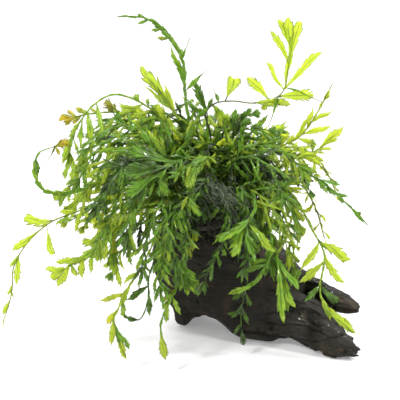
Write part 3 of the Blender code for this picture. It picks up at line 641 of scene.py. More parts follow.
# Leaflets that stand out at the rim: foot and tip in the photograph's pixels, width in pixels, kind, and
# for some how orange it is, how much paler than the frond in tone and painted light, and how far it bows
SEEN = {
    "top_arch": ((178, 50, 166, 33, 5, LANCE), (172, 42, 158, 26, 4.5, LANCE), (165, 33, 150, 20, 4, LANCE),
        (187, 62, 177, 44, 4.5, LANCE), (182, 91, 208, 71, 5, TAILED), (183, 86, 171, 47, 5.5, LANCE),
        (180, 60, 190, 39, 2, SLIM), (167, 41, 157, 39, 4, LANCE, 0.4), (168, 36, 162, 24, 1.8, SLIM),
        (162, 31, 150, 31, 3.2, LANCE), (160, 27, 152, 19, 2.6, LANCE), (149, 22, 137, 25, 3, LANCE),
        (147, 21, 137, 14, 3, LANCE), (140, 18, 128, 18, 3, LANCE), (131, 18, 115, 16, 1.6, SLIM)),
    "top_blade": ((168, 113, 141, 68, 11, TOOTHED, 0.05, 0.0), (168, 113, 143, 87, 3.5, LANCE),
        (170, 114, 152, 92, 4, LANCE), (174, 116, 165, 84, 4, LANCE, 0.3),
        (172, 112, 158, 88, 1.6, SLIM, 0.0, -0.6)),
    "top_left_short": ((203, 114, 194, 84, 8, TOOTHED, 0.0, -0.1), (203, 112, 213, 98, 4, LANCE),
        (202, 118, 188, 104, 5, TOOTHED)),
    "top_right": ((217, 101, 213, 88, 3.4, SLIM, 0, -0.6), (225, 101, 234, 79, 12, WEDGE),
        (213, 104, 222, 127, 7, LOBED, 0.1, -0.2), (209, 108, 194, 120, 5, LANCE, 0, -0.5),
        (252, 103, 281, 105, 8, TOOTHED, 0, -0.2, -3.0), (268, 99, 247, 77, 9, TOOTHED),
        (266, 100, 262, 110, 6, LANCE, 0, -0.1), (279, 101, 268, 128, 2.6, SLIM, 0, -0.5),
        (273, 113, 291, 105, 7, LANCE), (279, 99, 313, 97, 11, TOOTHED),
        (309, 97, 323, 103, 1.8, SLIM, 0, -0.5, 1.5), (283, 90, 267, 62, 5, WAVY, 0, -0.1, -2.5),
        (284, 89, 321, 54, 8, WAVY, 0, 0, -2.0), (288, 64, 270, 32, 6.5, WAVY, 0, 0, 1.5),
        (289, 48, 277, 21, 6, WAVY, 0, 0, 1.5), (289, 60, 287, 20, 9, CROWNED),
        (289, 66, 299, 24, 8, CROWNED, 0, 0, -2.0), (287, 88, 290, 50, 5, WAVY)),
    "top_dark": ((227, 134, 235, 110, 6, LOBED), (231, 126, 250, 109, 8.5, LOBED),
        (232, 132, 250, 119, 8, TOOTHED), (225, 130, 214, 106, 7, LOBED, 0, 0.3)),
    "top_slim": ((246, 132, 267, 116, 5.5, LANCE), (250, 130, 262, 128, 4, LANCE)),
    "top_right_small": ((262, 142, 285, 124, 8, LANCE), (270, 140, 292, 136, 5, LANCE),
        (262, 142, 267, 126, 4, LANCE)),
    "right_high": ((280, 144, 287, 130, 7, LANCE), (286, 144, 294, 135, 4, LANCE),
        (295, 144, 309, 117, 5, LANCE), (308, 129, 312, 108, 4.5, LANCE),
        (305, 135, 331, 126, 5.5, LANCE, 0.2, 0, 2.0), (313, 125, 332, 111, 4, LANCE),
        (322, 112, 325, 97, 2.5, SLIM), (326, 101, 333, 94, 2, SLIM), (326, 104, 332, 84, 3.5, SLIM),
        (299, 143, 318, 146, 5, LANCE)),
    "right_level": ((322, 150, 343, 127, 8, LANCE, 0.35), (320, 155, 333, 149, 3.5, LANCE),
        (326, 146, 338, 139, 3, LANCE), (305, 164, 322, 164, 5.5, LANCE),
        (318, 156, 325, 154, 2.5, LANCE, 0.4), (314, 157, 312, 138, 5, LANCE, 0.2, -0.3),
        (306, 160, 300, 146, 6, LANCE), (296, 163, 318, 152, 6, LANCE)),
    "right_slim": ((298, 171, 311, 183, 5, LANCE, 0, 0.3), (316, 180, 327, 194, 5, LANCE),
        (320, 178, 349, 187, 4.5, TAILED), (326, 186, 335, 198, 3, LANCE), (334, 193, 349, 197, 3.5, LANCE),
        (338, 198, 342, 204, 3, LANCE), (354, 212, 362, 214, 3, LANCE), (347, 207, 370, 229, 4, TAILED)),
    "right_low": ((287, 187, 305, 217, 5.5, LANCE, 0, 0.2, 9.0), (289, 182, 304, 189, 4.5, LANCE, 0, 0.3),
        (303, 217, 315, 230, 2.6, SLIM), (321, 240, 354, 260, 10.5, LANCE, 0, 0.45, 2.0),
        (319, 239, 333, 256, 3, SLIM, 0, -0.4), (322, 241, 299, 270, 6, LANCE, 0, 0.3),
        (326, 255, 346, 284, 7, LANCE, 0, 0.25, 5.0), (323, 262, 297, 282, 8.5, LANCE, 0, 0.2),
        (319, 285, 338, 303, 8.5, TOOTHED, 0, -0.45), (319, 284, 304, 301, 6, LANCE, 0, -0.4),
        (318, 296, 331, 321, 6, LANCE), (321, 305, 353, 325, 6, LANCE, 0, 0.3, 3.0),
        (326, 320, 357, 334, 7, LANCE, 0, 0.1)),
    "right_behind": ((308, 194, 318, 204, 4.5, LANCE), (311, 202, 304, 214, 4.5, LANCE),
        (316, 214, 326, 221, 4.5, LANCE), (318, 222, 311, 233, 4, LANCE), (322, 231, 330, 239, 4, LANCE),
        (325, 241, 326, 252, 4.5, LANCE)),
    "front_right_bright": ((271, 262, 283, 322, 8.0, WAVY, 0, 0.05, 2.0),
        (276, 268, 295, 307, 6.5, WAVY, 0, 0.1, 3.0), (273, 260, 298, 289, 7.0, WAVY),
        (272, 270, 288, 312, 5, WAVY, 0, 0, 2.0)),
    "front_forked": ((263, 262, 242, 270, 6, LANCE), (262, 264, 254, 286, 5.5, LANCE),
        (258, 280, 243, 290, 5, LANCE), (254, 287, 228, 294, 6, LANCE, 0, 0.1),
        (264, 258, 250, 262, 6, LANCE)),
    "front_middle": ((252, 216, 219, 242, 13, TOOTHED, 0, 0.08), (264, 237, 232, 257, 11, TOOTHED, 0, 0.15),
        (264, 236, 276, 252, 8, TOOTHED, 0, 0.2), (262, 238, 255, 262, 7, LOBED)),
    "front_dark_hanging": ((243, 286, 233, 300, 5, LOBED), (242, 290, 251, 306, 5, LOBED),
        (241, 303, 232, 318, 5, LOBED), (241, 308, 249, 325, 4.5, LANCE), (240, 322, 234, 335, 4, LANCE),
        (240, 327, 244, 346, 5.5, TOOTHED)),
    "front_bright": ((176, 264, 188, 275, 5, LANCE), (184, 274, 204, 291, 7, LOBED),
        (181, 273, 198, 296, 6.5, LOBED), (176, 270, 188, 296, 6.5, LOBED), (173, 267, 175, 289, 6, LANCE),
        (178, 262, 197, 281, 6.5, LOBED)),
    "over_the_foot": ((181, 296, 161, 301, 5, LANCE), (177, 301, 162, 309, 5.5, LANCE),
        (172, 306, 166, 322, 5, LANCE), (178, 299, 181, 314, 5, LANCE), (184, 292, 172, 293, 5, LANCE),
        (162, 335, 165, 362, 7.5, LANCE, 0.1, 0.25)),
    "front_left_curled": ((143, 286, 126, 300, 6, LANCE), (126, 300, 119, 312, 3, SLIM),
        (146, 292, 150, 316, 5, LANCE), (139, 319, 127, 318, 5, LANCE)),
    "front_left_hanging": ((138, 272, 124, 284, 4.5, LANCE, 0, 0, 3.0), (124, 291, 98, 301, 5, LANCE, 0.5),
        (131, 284, 120, 306, 6, LANCE), (115, 308, 106, 324, 6, LANCE, 0.6),
        (112, 318, 111, 347, 6.5, LANCE, 0.15), (113, 322, 129, 351, 6, TOOTHED, 0, -0.3),
        (115, 335, 126, 361, 6, LANCE, 0.1), (120, 298, 124, 318, 5, LANCE, 0, -0.2)),
    "left_facing": ((113, 232, 115, 275, 10, TOOTHED, 0, -0.15), (120, 228, 97, 231, 7, LOBED),
        (105, 239, 83, 242, 8, LOBED), (96, 247, 98, 262, 5, LANCE),
        (90, 252, 63, 262, 6, SESSILE, 0, 0.1, -5.0), (94, 250, 91, 274, 5, LANCE),
        (85, 258, 83, 278, 7, SESSILE, 0, 0.1, 3.0), (80, 262, 55, 262, 6, SESSILE, 0, 0.15),
        (74, 268, 77, 276, 5, SESSILE), (66, 271, 45, 269, 6.5, SESSILE, 0, 0.2),
        (71, 270, 58, 287, 7.5, SESSILE, 0, 0.2), (64, 272, 51, 278, 8, SESSILE, 0, 0.2),
        (140, 257, 118, 269, 6, LANCE, 0.6, 0.3)),
    "left_low": ((82, 207, 112, 230, 8, LANCE, 0.1, 0, 3.0), (82, 212, 76, 233, 5, LANCE),
        (77, 208, 59, 212, 5, LANCE), (71, 216, 56, 226, 4, LANCE, 0, -0.2),
        (52, 220, 23, 219, 10, TOOTHED, 0, 0.2), (49, 222, 25, 228, 2, SLIM),
        (47, 226, 54, 254, 6, WEDGE, 0, 0.05), (39, 232, 10, 252, 7, LANCE, 0, 0.1),
        (21, 252, 9, 269, 4, LANCE, 0, -0.1), (20, 256, 17, 286, 6, LANCE), (12, 284, 7, 296, 4, LANCE),
        (12, 290, 14, 298, 2.5, LANCE), (9, 300, 2, 315, 5, LANCE), (4, 318, 3, 329, 3.5, LANCE)),
    "left_curl": ((70, 200, 54, 199, 7, LOBED), (66, 197, 60, 208, 5, LANCE),
        (40, 160, 37, 178, 4.5, LANCE, 0, -0.2), (52, 146, 68, 142, 8, LOBED, 0.95),
        (56, 150, 46, 163, 2, SLIM, 0.3, -0.4), (58, 148, 60, 155, 5, LANCE, 1.0)),
    "left_orange": ((87, 119, 59, 121, 6.5, LOBED, 1.0), (76, 118, 67, 110, 4, LANCE, 0.9),
        (76, 120, 65, 126, 4, LANCE, 0.9), (91, 117, 75, 108, 5.5, LANCE, 0.55),
        (99, 113, 90, 109, 3.5, LANCE, 0.4), (121, 110, 105, 103, 9, LOBED, 0.35, -0.3),
        (150, 112, 120, 105, 4, LANCE, 0, 0, 4.0)),
    "left_arch": ((76, 134, 61, 165, 6.5, LANCE), (72, 148, 65, 182, 6.5, LANCE),
        (73, 150, 77, 185, 5, LANCE), (77, 138, 85, 168, 5, LANCE), (88, 122, 82, 150, 5.5, LANCE),
        (95, 116, 96, 150, 6, LANCE), (105, 113, 107, 138, 5, LANCE), (84, 122, 68, 142, 5.5, LANCE)),
}
# Fronds between the long ones, and at the plant's hidden back: row, the angle at which each leads away,
# how far it reaches, rises and falls, and its tone, low in the crown for painted shade and higher at the back
# and sides for painted light
FILLERS = [Filler(*row) for row in (
    ("crown_front_left", "front", 212, 48, 58, 34, 0.20),
    ("crown_front", "front", 262, 42, 62, 40, 0.14),
    ("crown_front_right", "front", 310, 44, 56, 34, 0.14),
    ("crown_left", "middle", 186, 62, 66, 34, 0.40),
    ("crown_right", "front", 330, 50, 60, 26, 0.30),
    ("left_inner", "middle", 196, 70, 50, 26, 0.45),
    ("left_outer", "back", 172, 80, 60, 36, 0.75),
    ("back_left_low", "back", 150, 82, 40, 74, 0.65),
    ("back_left", "back", 138, 72, 58, 34, 0.55),
    ("back_left_top", "back", 124, 46, 68, 12, 0.50),
    ("back_low", "back", 112, 76, 36, 80, 0.60),
    ("back", "back", 100, 74, 58, 46, 0.50),
    ("back_top", "back", 90, 44, 58, 16, 0.45),
    ("back_right_low", "back", 78, 78, 38, 72, 0.65),
    ("back_right", "back", 62, 72, 52, 36, 0.60),
    ("back_right_top", "back", 50, 50, 52, 12, 0.65),
    ("right_outer", "back", 34, 66, 50, 38, 0.85),
    ("right_inner", "back", 16, 54, 54, 28, 0.75),
    ("right_behind", "back", 10, 50, 34, 52, 0.80))]
# Young ones inside the crown, with smaller leaflets and low tones that paint shade
YOUNG = [Filler(*row) for row in (
    ("young_front_left", "front", 228, 38, 30, 20, 0.14),
    ("young_front", "front", 250, 34, 34, 16, 0.10),
    ("young_front_middle", "front", 275, 36, 28, 22, 0.10),
    ("young_front_right", "front", 296, 34, 36, 18, 0.10),
    ("young_left", "middle", 200, 44, 36, 26, 0.30),
    ("young_right", "middle", 336, 42, 34, 24, 0.30),
    ("young_back_left", "back", 130, 40, 34, 26, 0.30),
    ("young_back_right", "back", 70, 40, 34, 26, 0.30))]
FILLER_LEAF, YOUNG_LEAF = ((15.0, 5.2), 9.5), ((13.0, 5.5), 10.5)      # leaflets' size, and their pitch
FILLER_BARE, FILLER_WING = 0.32, 0.6
FILLER_ARCH = ((0.20, 0.72, 0.0), (0.52, 1.0, 0.08), (0.82, 1.0, 0.48), (1.0, 1.0, 1.0))
SWAYS = [(turn, lift, aside) for turn in (0, 2, -2, 4, -4, 7, -7, 10, -10) for lift in (0, 3, -3, 6, 10)
         for aside in (0, 2.5, -2.5, 5, -5)]
BOW_END = 1 / 1.3
ON_NODE = 0.06                           # how near its CAD solid a stalk's own points lie, in mm


def away_at(degrees):
    return Vector((math.cos(math.radians(degrees)), math.sin(math.radians(degrees)), 0))


def arch(root, away, reach, rise, fall):
    """The places that a frond passes which rises from its root, reaches away and falls."""
    return [root + away * reach * out + Vector((0, 0, rise * up - fall * down))
            for out, up, down in FILLER_ARCH]


def seats(places, fronds):
    """Where each frond of a row stands: spread along its rhizome, on its left and right in turn."""
    spread = smooth_route(places, 0.5)
    count, last = len(fronds), len(spread) - 1
    start, end = ROOT_SPREAD
    for k, grown in enumerate(fronds):
        i = round((start + (end - start) * (k + 0.5) / count) * last)
        way = (spread[min(i + 1, last)] - spread[max(i - 1, 0)]).normalized()
        side = way.cross(Vector((0, 0, 1))).normalized()
        lean = ROOT_LEAN if (count - k) % 2 == 0 else -ROOT_LEAN
        out = (side * lean + side.cross(way)).normalized()
        yield grown, spread[i] + out * (RHIZOME_R + 2 * GAP), spread[i] + out * (RHIZOME_R + ROOT_RISE)


def swayed(line, degrees, lift, aside):
    """The route turned about its root, with its middle raised and moved to one side."""
    root, out = line[0], line[-1] - line[0]
    level = Vector((-out.y, out.x, 0.0)).normalized()
    turn = Matrix.Rotation(math.radians(degrees), 3, "Z")
    moved = []
    for k, p in enumerate(line):
        bow = math.sin(math.pi * min(1.0, k / (len(line) - 1) / BOW_END))
        moved.append(root + turn @ (p - root) + (Vector((0, 0, lift)) + level * aside) * bow)
    return moved


def aim(grown):
    """How far to the right a frond leads, for the order along its rhizome."""
    if isinstance(grown, Filler):
        return (CROWN_X + grown.reach * away_at(grown.angle).x * LEAD, grown.name)
    return (grown.route[min(2, len(grown.route) - 1)].x, grown.name)


class Blade:
    """One frond's line, with the way and the left of the blade at each of its points."""

    def __init__(self, grown, fine):
        self.grown, self.fine = grown, fine
        self.length = sum((b - a).length for a, b in zip(fine, fine[1:]))
        count = round(2 * self.length * (1 - grown.bare) / grown.pitch)
        count = min(MOST_LEAFLETS, max(FEWEST_LEAFLETS, count))
        bare_spans = max(3, round(self.length * grown.bare / BARE_STEP))
        self.last = 1.0 - END_LEAFLET * grown.leaflet[0] / self.length
        self.shares = [grown.bare * i / bare_spans for i in range(bare_spans)]
        self.shares += [grown.bare + (self.last - grown.bare) * i / count for i in range(count + 1)]

    def lay(self):
        """Works out which way the blade faces, from its middle to both its ends."""
        end, fine = len(self.fine) - 1, self.fine
        self.ways = [(fine[min(i + 1, end)] - fine[max(i - 1, 0)]).normalized() for i in range(end + 1)]
        out = fine[-1] - fine[0]
        level = Vector((-out.y, out.x, 0.0)).normalized()
        middle = round(end * (1 + self.grown.bare) / 2)
        self.sides = [None] * (end + 1)
        for order in (range(middle, end + 1), range(middle, -1, -1)):
            side = Vector()
            for i in order:
                wanted = level if self.grown.facing is None else self.grown.facing.cross(self.ways[i])
                if i == middle or i > self.grown.bare * end:
                    side = side + wanted * FACE_PULL
                side = (side - self.ways[i] * side.dot(self.ways[i])).normalized()
                self.sides[i] = side

    def between(self, share, *rows):
        """What each row of the line's own values is at a share of its length."""
        at = share * (len(self.fine) - 1)
        i = min(int(at), len(self.fine) - 2)
        return [row[i].lerp(row[i + 1], at - i) for row in rows]

    def stand(self, share):
        """The place there, and the way, the left and the top of the blade."""
        place, way, side = self.between(share, self.fine, self.ways, self.sides)
        way.normalize()
        side = (side - way * side.dot(way)).normalized()
        return place, way, side, way.cross(side)


def laid_blades():
    """Every frond, with the sway that its CAD stalk took."""
    by_row = {row: [] for row in ROWS}
    for planned in FRONDS + FILLERS + YOUNG:
        by_row[planned.row].append(planned)
    for row, places in rhizome_middles.items():
        for grown, root, above in seats(places, sorted(by_row[row], key=aim)):
            if isinstance(grown, Filler):
                leaflet, pitch = YOUNG_LEAF if grown in YOUNG else FILLER_LEAF
                route = arch(root, away_at(grown.angle), grown.reach, grown.rise, grown.fall)
                kind = (LANCE, TOOTHED, LOBED)[grown.angle % 3]
                grown = Frond("frond_" + grown.name, row, route, None, FILLER_BARE, leaflet, pitch,
                              grown.tone, kind, FILLER_WING, 1.0)
            solid = node_tree(grown.name)
            for sway in SWAYS:
                blade = Blade(grown, smooth_route(swayed([root, above] + grown.route, *sway), ROUTE_STEP))
                if all(solid.find_nearest(*blade.between(s, blade.fine))[3] < ON_NODE for s in blade.shares):
                    break
            else:
                raise ValueError(grown.name + " isn't where its solid is")
            blade.lay()
            yield blade


LEAF_THICKNESS = 0.28
OFF_GROUND = 0.5
FINE_ROWS = 20                           # a leaflet with so many rows of points has all its points across
FINE, PLAIN = np.array((-1.0, -0.5, 0.0, 0.5, 1.0)), np.array((-1.0, 0.0, 1.0))     # points across a leaf
BEFORE_TIP, TOOTH_SHIFT, TOOTH_SIZES = 0.04, 0.25, 12
TOOTH_LENGTH, TOOTH_BOW, TOOTH_SIZE, NOTCH = 0.93, 0.8, (0.35, 1.0), 0.75
BARE_STEM = 0.03                         # a leaflet with a longer bare stem shows it
TEETH_MORE = (0.85, 1.2)
RIPPLE, BUCKLE = 0.05, 0.08              # how far it bends to its sides and up, as shares of its length
TWIST, MORE_TWIST = 0.40, 0.8
WAVE_HEIGHT, WAVES = (0.05, 0.40), (1.2, 2.6)
FOLD = (0.05, 0.45)
FOOT_W, TIP_W = 0.32, 0.18               # the least half width, in mm
FINGER_AT, FINGER_REACH, FINGER_TURN, FINGER_WIDTH = (0.22, 0.55), (0.28, 0.48), (0.45, 0.75), (0.5, 0.75)
FINGER_ROWS = 10
PALER_ALONG, GOLD_AT_FOOT = 0.10, 0.3
DRY_SHARE, DRY_MORE, DRY_RISE = 0.8, 0.03, 12        # how far down a dry end goes, and how fast it starts
DRY_TAIL, DRY_TIP, LONG_TAIL = 0.75, 0.5, 0.1
BLACK_FOOT, BLACK_LONG = 0.8, 0.10       # how black a bare stem is, and how far its black goes up the leaf


def strip(skin, middle, way, cross, over, left, right, marks, sweep, fold, wave=None, across=FINE):
    """A thin leaf along its middle line. left and right are half widths. The teeth sweep forward, the
    two halves fold up a little, and each rim waves."""
    rows, cols = len(middle), len(across)
    s = across[None, :]
    half = np.where(s > 0, left[:, None], right[:, None])
    rise = fold * np.abs(s) * half
    if wave is not None:
        rise = rise + wave[:, None] * half * s * np.abs(s)
    points = (middle[:, None] + cross[:, None] * (s * half)[..., None] + over[:, None] * rise[..., None]
              + way[:, None] * (sweep * np.abs(s) ** 1.5 * half)[..., None])
    points[..., 2] = np.maximum(points[..., 2], OFF_GROUND)
    thick = LEAF_THICKNESS / 2 * (1 - 0.5 * np.abs(across)) * (np.abs(across) < 1)
    body = thick[None, :, None] * over[:, None]
    top, under = points + body, (points - body)[:, 1:-1]
    above = np.arange(rows * cols).reshape(rows, cols)
    below = above.copy()
    below[:, 1:-1] = rows * cols + np.arange(rows * (cols - 2)).reshape(rows, cols - 2)
    faces = ((above[:-1, :-1], above[1:, :-1], above[1:, 1:], above[:-1, 1:]),
             (below[:-1, 1:], below[1:, 1:], below[1:, :-1], below[:-1, :-1]))
    quads = np.concatenate([np.stack(corners, axis=2).reshape(-1, 4) for corners in faces])
    caps = [list(above[0]) + list(below[0, -2:0:-1]), (list(above[-1]) + list(below[-1, -2:0:-1]))[::-1]]
    grid = np.empty((rows, cols, 5))
    grid[..., 0] = marks[:, None, 0]
    grid[..., 1] = s
    grid[..., 2:] = marks[:, None, 2:]
    skin.add(np.concatenate([top.reshape(-1, 3), under.reshape(-1, 3)]), quads, caps,
             np.concatenate([grid.reshape(-1, 5), grid[:, 1:-1].reshape(-1, 5)]))


def cut_rows(rows, teeth, start, end, draw):
    """Where along a leaflet its points lie: a notch and a tip for each tooth, and a few more at its ends.
    Gives those places, and for each one how far out of its tooth it is, from 0 in a notch to 1 at a tip."""
    shift = np.array([draw.uniform(-TOOTH_SHIFT, TOOTH_SHIFT) for _ in range(teeth + 1)]) / teeth / 2
    lower = np.linspace(start, end, teeth + 1) + shift
    t, out = [0.0], [0.5]
    if start > BARE_STEM:
        t, out = [0.0, start * 0.7], [0.5, 0.5]
    extra = max(0, (rows - 2 * teeth - 4) // teeth)
    for a, b in zip(lower, lower[1:]):
        for k in range(extra + 2):
            share = k / (extra + 1)
            t.append(a + (b - a) * (share * TOOTH_LENGTH + 0.02))
            out.append(share ** TOOTH_BOW)
    t += [end + (1 - end) * 0.5, 1.0]
    out += [0.5, 0.5]
    order = np.maximum.accumulate(np.clip(t, 0, 1) + np.arange(len(t)) * 1e-5)
    return order / order[-1], np.array(out)


def outline(u, out, kind, draw):
    """Half the width of a leaflet along it, as a share of the widest, with teeth that point forward."""
    swell = np.sin(np.pi / 2 * np.clip(u / kind.widest, 0, 1)) ** kind.rise
    fall = np.cos(np.pi / 2 * np.clip((u - kind.widest) / (1 - kind.widest), 0, 1)) ** kind.fall
    plain = np.maximum(swell * fall, kind.foot * (1 - u) ** 2)
    sizes = np.array([draw.uniform(*TOOTH_SIZE) for _ in range(TOOTH_SIZES)])
    return plain * (1 + kind.depth * sizes[(u * kind.teeth).astype(int) % TOOTH_SIZES] * (out - NOTCH))


def leaflet(skin, foot, tip, bend, over, width, kind, draw, tone, gold=0.0, rows=20, fork=True):
    """One leaflet from its foot to its tip on a bent line, twisted and waved a little."""
    length = np.linalg.norm(tip - foot)
    teeth = max(2, round(kind.teeth * draw.uniform(*TEETH_MORE)))
    t, out = cut_rows(rows, min(teeth, (rows - 3) // 2), kind.stem, 1 - kind.tail - BEFORE_TIP, draw)
    t = t[:, None]
    rows = len(t)
    corner = (foot + tip) / 2 + bend
    middle = foot * (1 - t) ** 2 + corner * 2 * t * (1 - t) + tip * t ** 2
    ripple = draw.uniform(-RIPPLE, RIPPLE) * length * np.sin(np.pi * 2 * t) * np.sin(np.pi * t)
    run = unit(np.gradient(middle, axis=0))
    cross = unit(np.cross(over, run))
    flat = np.cross(run, cross)
    middle = middle + cross * ripple + flat * draw.uniform(-BUCKLE, BUCKLE) * length * np.sin(np.pi * 2 * t)
    middle[:, 2] = np.maximum(middle[:, 2], OFF_GROUND + 0.1 * width)
    roll = draw.uniform(-TWIST, TWIST) + draw.uniform(-MORE_TWIST, MORE_TWIST) * t
    cross, flat = cross * np.cos(roll) + flat * np.sin(roll), flat * np.cos(roll) - cross * np.sin(roll)
    t = t[:, 0]
    u = np.clip((t - kind.stem) / (1 - kind.stem - kind.tail), 0, 1)
    least = FOOT_W - (FOOT_W - TIP_W) * t
    left, right = (np.maximum(width / 2 * outline(u, out, kind, draw), least) for _ in range(2))
    waves = draw.uniform(*WAVE_HEIGHT) * np.sin(2 * np.pi * (draw.uniform(*WAVES) * t + draw.random()))
    marks = np.zeros((rows, 5))
    marks[:, 0] = t * length
    marks[:, 2] = np.clip(tone + PALER_ALONG * t, 0, 1)
    marks[:, 3] = gold * np.clip(GOLD_AT_FOOT + t, 0, 1)
    dry = np.clip((t - 1 + kind.tail * DRY_SHARE + DRY_MORE) * DRY_RISE, 0, 1)
    dry = dry * (DRY_TAIL if kind.tail > LONG_TAIL else DRY_TIP)
    foot_black = np.clip(1 - u / BLACK_LONG, 0, 1) * BLACK_FOOT if kind.stem > BARE_STEM else 0
    marks[:, 4] = np.maximum(dry, foot_black)
    strip(skin, middle, run, cross, flat, left, right, marks, kind.sweep, draw.uniform(*FOLD), waves,
          FINE if rows >= FINE_ROWS else PLAIN)
    for hand in (-1, 1):
        if fork and draw.random() < kind.fork:
            i = int(rows * draw.uniform(*FINGER_AT))
            reach = length * draw.uniform(*FINGER_REACH)
            turned = draw.uniform(*FINGER_TURN)
            finger = run[i] * math.cos(turned) + cross[i] * hand * math.sin(turned)
            leaflet(skin, middle[i], middle[i] + finger * reach, run[i] * reach * 0.15, flat[i],
                    width * draw.uniform(*FINGER_WIDTH), SESSILE, draw, tone, gold, FINGER_ROWS, fork=False)


# The leaf's greens, painted from shade (dark) to light (lime) by its tone, its veins, rim and rib, the
# orange end, the stalk, and the light that comes through the leaf
LEAF_SHADE_DARK, LEAF_MID, LEAF_LIT_LIME = (0.010, 0.026, 0.004), (0.114, 0.258, 0.015), (0.420, 0.585, 0.070)
LEAF_VEIN, LEAF_RIM, LEAF_RIB = (0.34, 0.50, 0.09), (0.020, 0.055, 0.006), (0.016, 0.040, 0.006)
LEAF_ORANGE, STALK_BLACK = (0.620, 0.330, 0.030), (0.014, 0.013, 0.008)
DEEP_LIGHT, PALE_LIGHT = (0.47, 0.72, 0.05, 1), (0.82, 0.89, 0.22, 1)
MOTTLE, LEAF_GRAIN, LEAF_DROP = 5 * MM, 0.9 * MM, 3.5 * MM
VEINS_PER_MM, VEIN_SLANT, VEIN_EDGE = 1.1, 0.9, (0.02, 0.16)
RIB_EDGE, RIM_EDGE = (0.03, 0.16), (0.76, 0.98)


def fern_leaf(start):
    place = start.here()
    along, across, tone, gold, stem = (start.mark(name) for name in Skin.MARKS)
    off = abs(across)
    mottle, fine = place.speckle(MOTTLE, 3.0), place.speckle(LEAF_GRAIN, 2.0)
    rib = 1 - off.clear_step(*RIB_EDGE)
    vein = 1 - abs((along * VEINS_PER_MM - off * VEIN_SLANT).part() - 0.5).clear_step(*VEIN_EDGE)
    margin = off.clear_step(*RIM_EDGE)
    # Painted shade and light: a low tone paints the leaf dark green as if shaded, a high one lime as if lit
    # from behind, and it also sets how much light comes through.
    light = (tone + (mottle - 0.5) * 0.60).clear_step(0.0, 1.0)
    colour = light.clear_step(0.0, 0.5).mix(LEAF_SHADE_DARK, LEAF_MID)
    colour = light.clear_step(0.50, 1.0).mix(colour, LEAF_LIT_LIME)
    for share, paint in ((vein * 0.28, LEAF_VEIN), (margin * 0.70, LEAF_RIM), (rib * 0.60, LEAF_RIB),
                         (gold * mottle.clear_step(0.22, 0.55), LEAF_ORANGE), (stem, STALK_BLACK)):
        colour = share.mix(colour, paint)
    wet = place.speckle(LEAF_DROP, 2.0).clear_step(0.50, 0.58) * fine.clear_step(0.40, 0.55)
    height = 0.5 * fine - 0.5 * vein - 0.9 * rib + 0.6 * mottle
    skin = start.gloss({
        "Base Color": colour, "Roughness": 0.12 + 0.30 * fine + 0.10 * vein, "Specular IOR Level": 0.3,
        "Normal": height.bump(0.8, 0.40 * MM), "Coat Weight": wet, "Coat Roughness": 0.08})
    deep, pale = (start.node("ShaderNodeBsdfTranslucent", {}, {"Color": c}) for c in (DEEP_LIGHT, PALE_LIGHT))
    glow = start.node("ShaderNodeMixShader", {}, {0: light.clear_step(0.35, 1.0), 1: deep, 2: pale})
    through = (0.13 + 0.67 * light * light) * (1 - 0.95 * stem) * (1 - 0.6 * rib) * (1 - 0.6 * margin)
    return start.node("ShaderNodeMixShader", {}, {0: through, 1: skin, 2: glow})


AWAY = np.array((0, math.cos(LOOK_DOWN), -math.sin(LOOK_DOWN)))
RIGHT = np.array((1.0, 0, 0))
UPWARD = np.array((0, math.sin(LOOK_DOWN), math.cos(LOOK_DOWN)))
PIXEL = 0.65                             # mm that a pixel of the photograph shows at the plant's middle
MIDDLE_PIXEL = 200.0


def in_photo(points):
    """Where points of the layout show in the photograph, and how many mm a pixel is there."""
    off = points - np.array(LOOK_AT / MM + MIDDLE)
    size = PIXEL * (1 + off @ AWAY / (CAMERA_DISTANCE / MM))
    return MIDDLE_PIXEL + np.stack([off @ RIGHT, -(off @ UPWARD)], axis=-1) / size[:, None], size


# The plant's outline in the photograph's pixels, from its left low end over the crown to its right one,
# which the leaflets that aren't given one by one stay inside
EDGE = ((128, 345), (122, 300), (112, 282), (92, 268), (88, 250), (96, 236), (80, 226), (60, 218),
        (58, 206), (66, 195), (67, 180), (67, 160), (64, 146), (57, 128), (62, 116), (80, 107), (108, 104),
        (134, 99), (150, 104), (172, 98), (190, 94), (204, 106), (214, 116), (228, 112), (244, 116),
        (262, 126), (282, 128), (300, 122), (316, 118), (334, 112), (344, 130), (336, 158), (324, 168),
        (313, 178), (308, 200), (304, 225), (301, 250), (297, 290), (290, 330), (230, 350), (180, 320),
        (160, 345))


def inside(point):
    """Whether a point of the layout shows inside the plant's outline."""
    (x, y), = in_photo(point[None, :])[0]
    within = False
    for (x0, y0), (x1, y1) in zip(EDGE, EDGE[1:] + EDGE[:1]):
        if (y0 > y) != (y1 > y) and x < x0 + (y - y0) / (y1 - y0) * (x1 - x0):
            within = not within
    return within


LEAFLET_ANGLE, LESS_AT_TIP, ANGLE_MORE = 40.0, 10.0, (-22, 20)
LEAFLET_SEAT = (0.25, 0.75)              # where a leaflet stands in its stretch of the stalk
SHORTEST_LEAFLET, LENGTHS, WIDTHS = 0.62, (0.75, 1.40), (0.55, 1.0)
LEAFLET_LIFT, LEAFLET_DROOP = (-0.30, 0.25), (0.05, 0.35)
BEND_ON, BEND_UP, BEND_ASIDE = 0.10, (-0.05, 0.18), 0.14
PALER_AT_TIP, TONE_MORE = (0.80, 0.36), (0.03, 0.17)
OWN_KIND = 0.6                           # the share of leaflets that are of the frond's own kind
SMALLEST = 6.5                           # mm, the shortest that a leaflet is cut to at the plant's outline
SWELL_FROM, SWELL_RISE = 0.25, 0.95      # leaflets are longest past the middle of a frond
WING_TOOTH, WING_SWEEP, WING_FOLD = 7.0, 0.8, 0.2
WING_FOOT, WING_END, WING_NOTCH, WING_OUT = (6, 0.1), (5, 0.15), 0.35, 0.65
END_THREE = ((1, 1.0, 0.0), (1, 0.85, 0.50), (-1, 0.8, 0.45))      # each one's hand, length and angle
END_SIZE, END_BEND, END_ROWS = 0.75, 0.6, 12
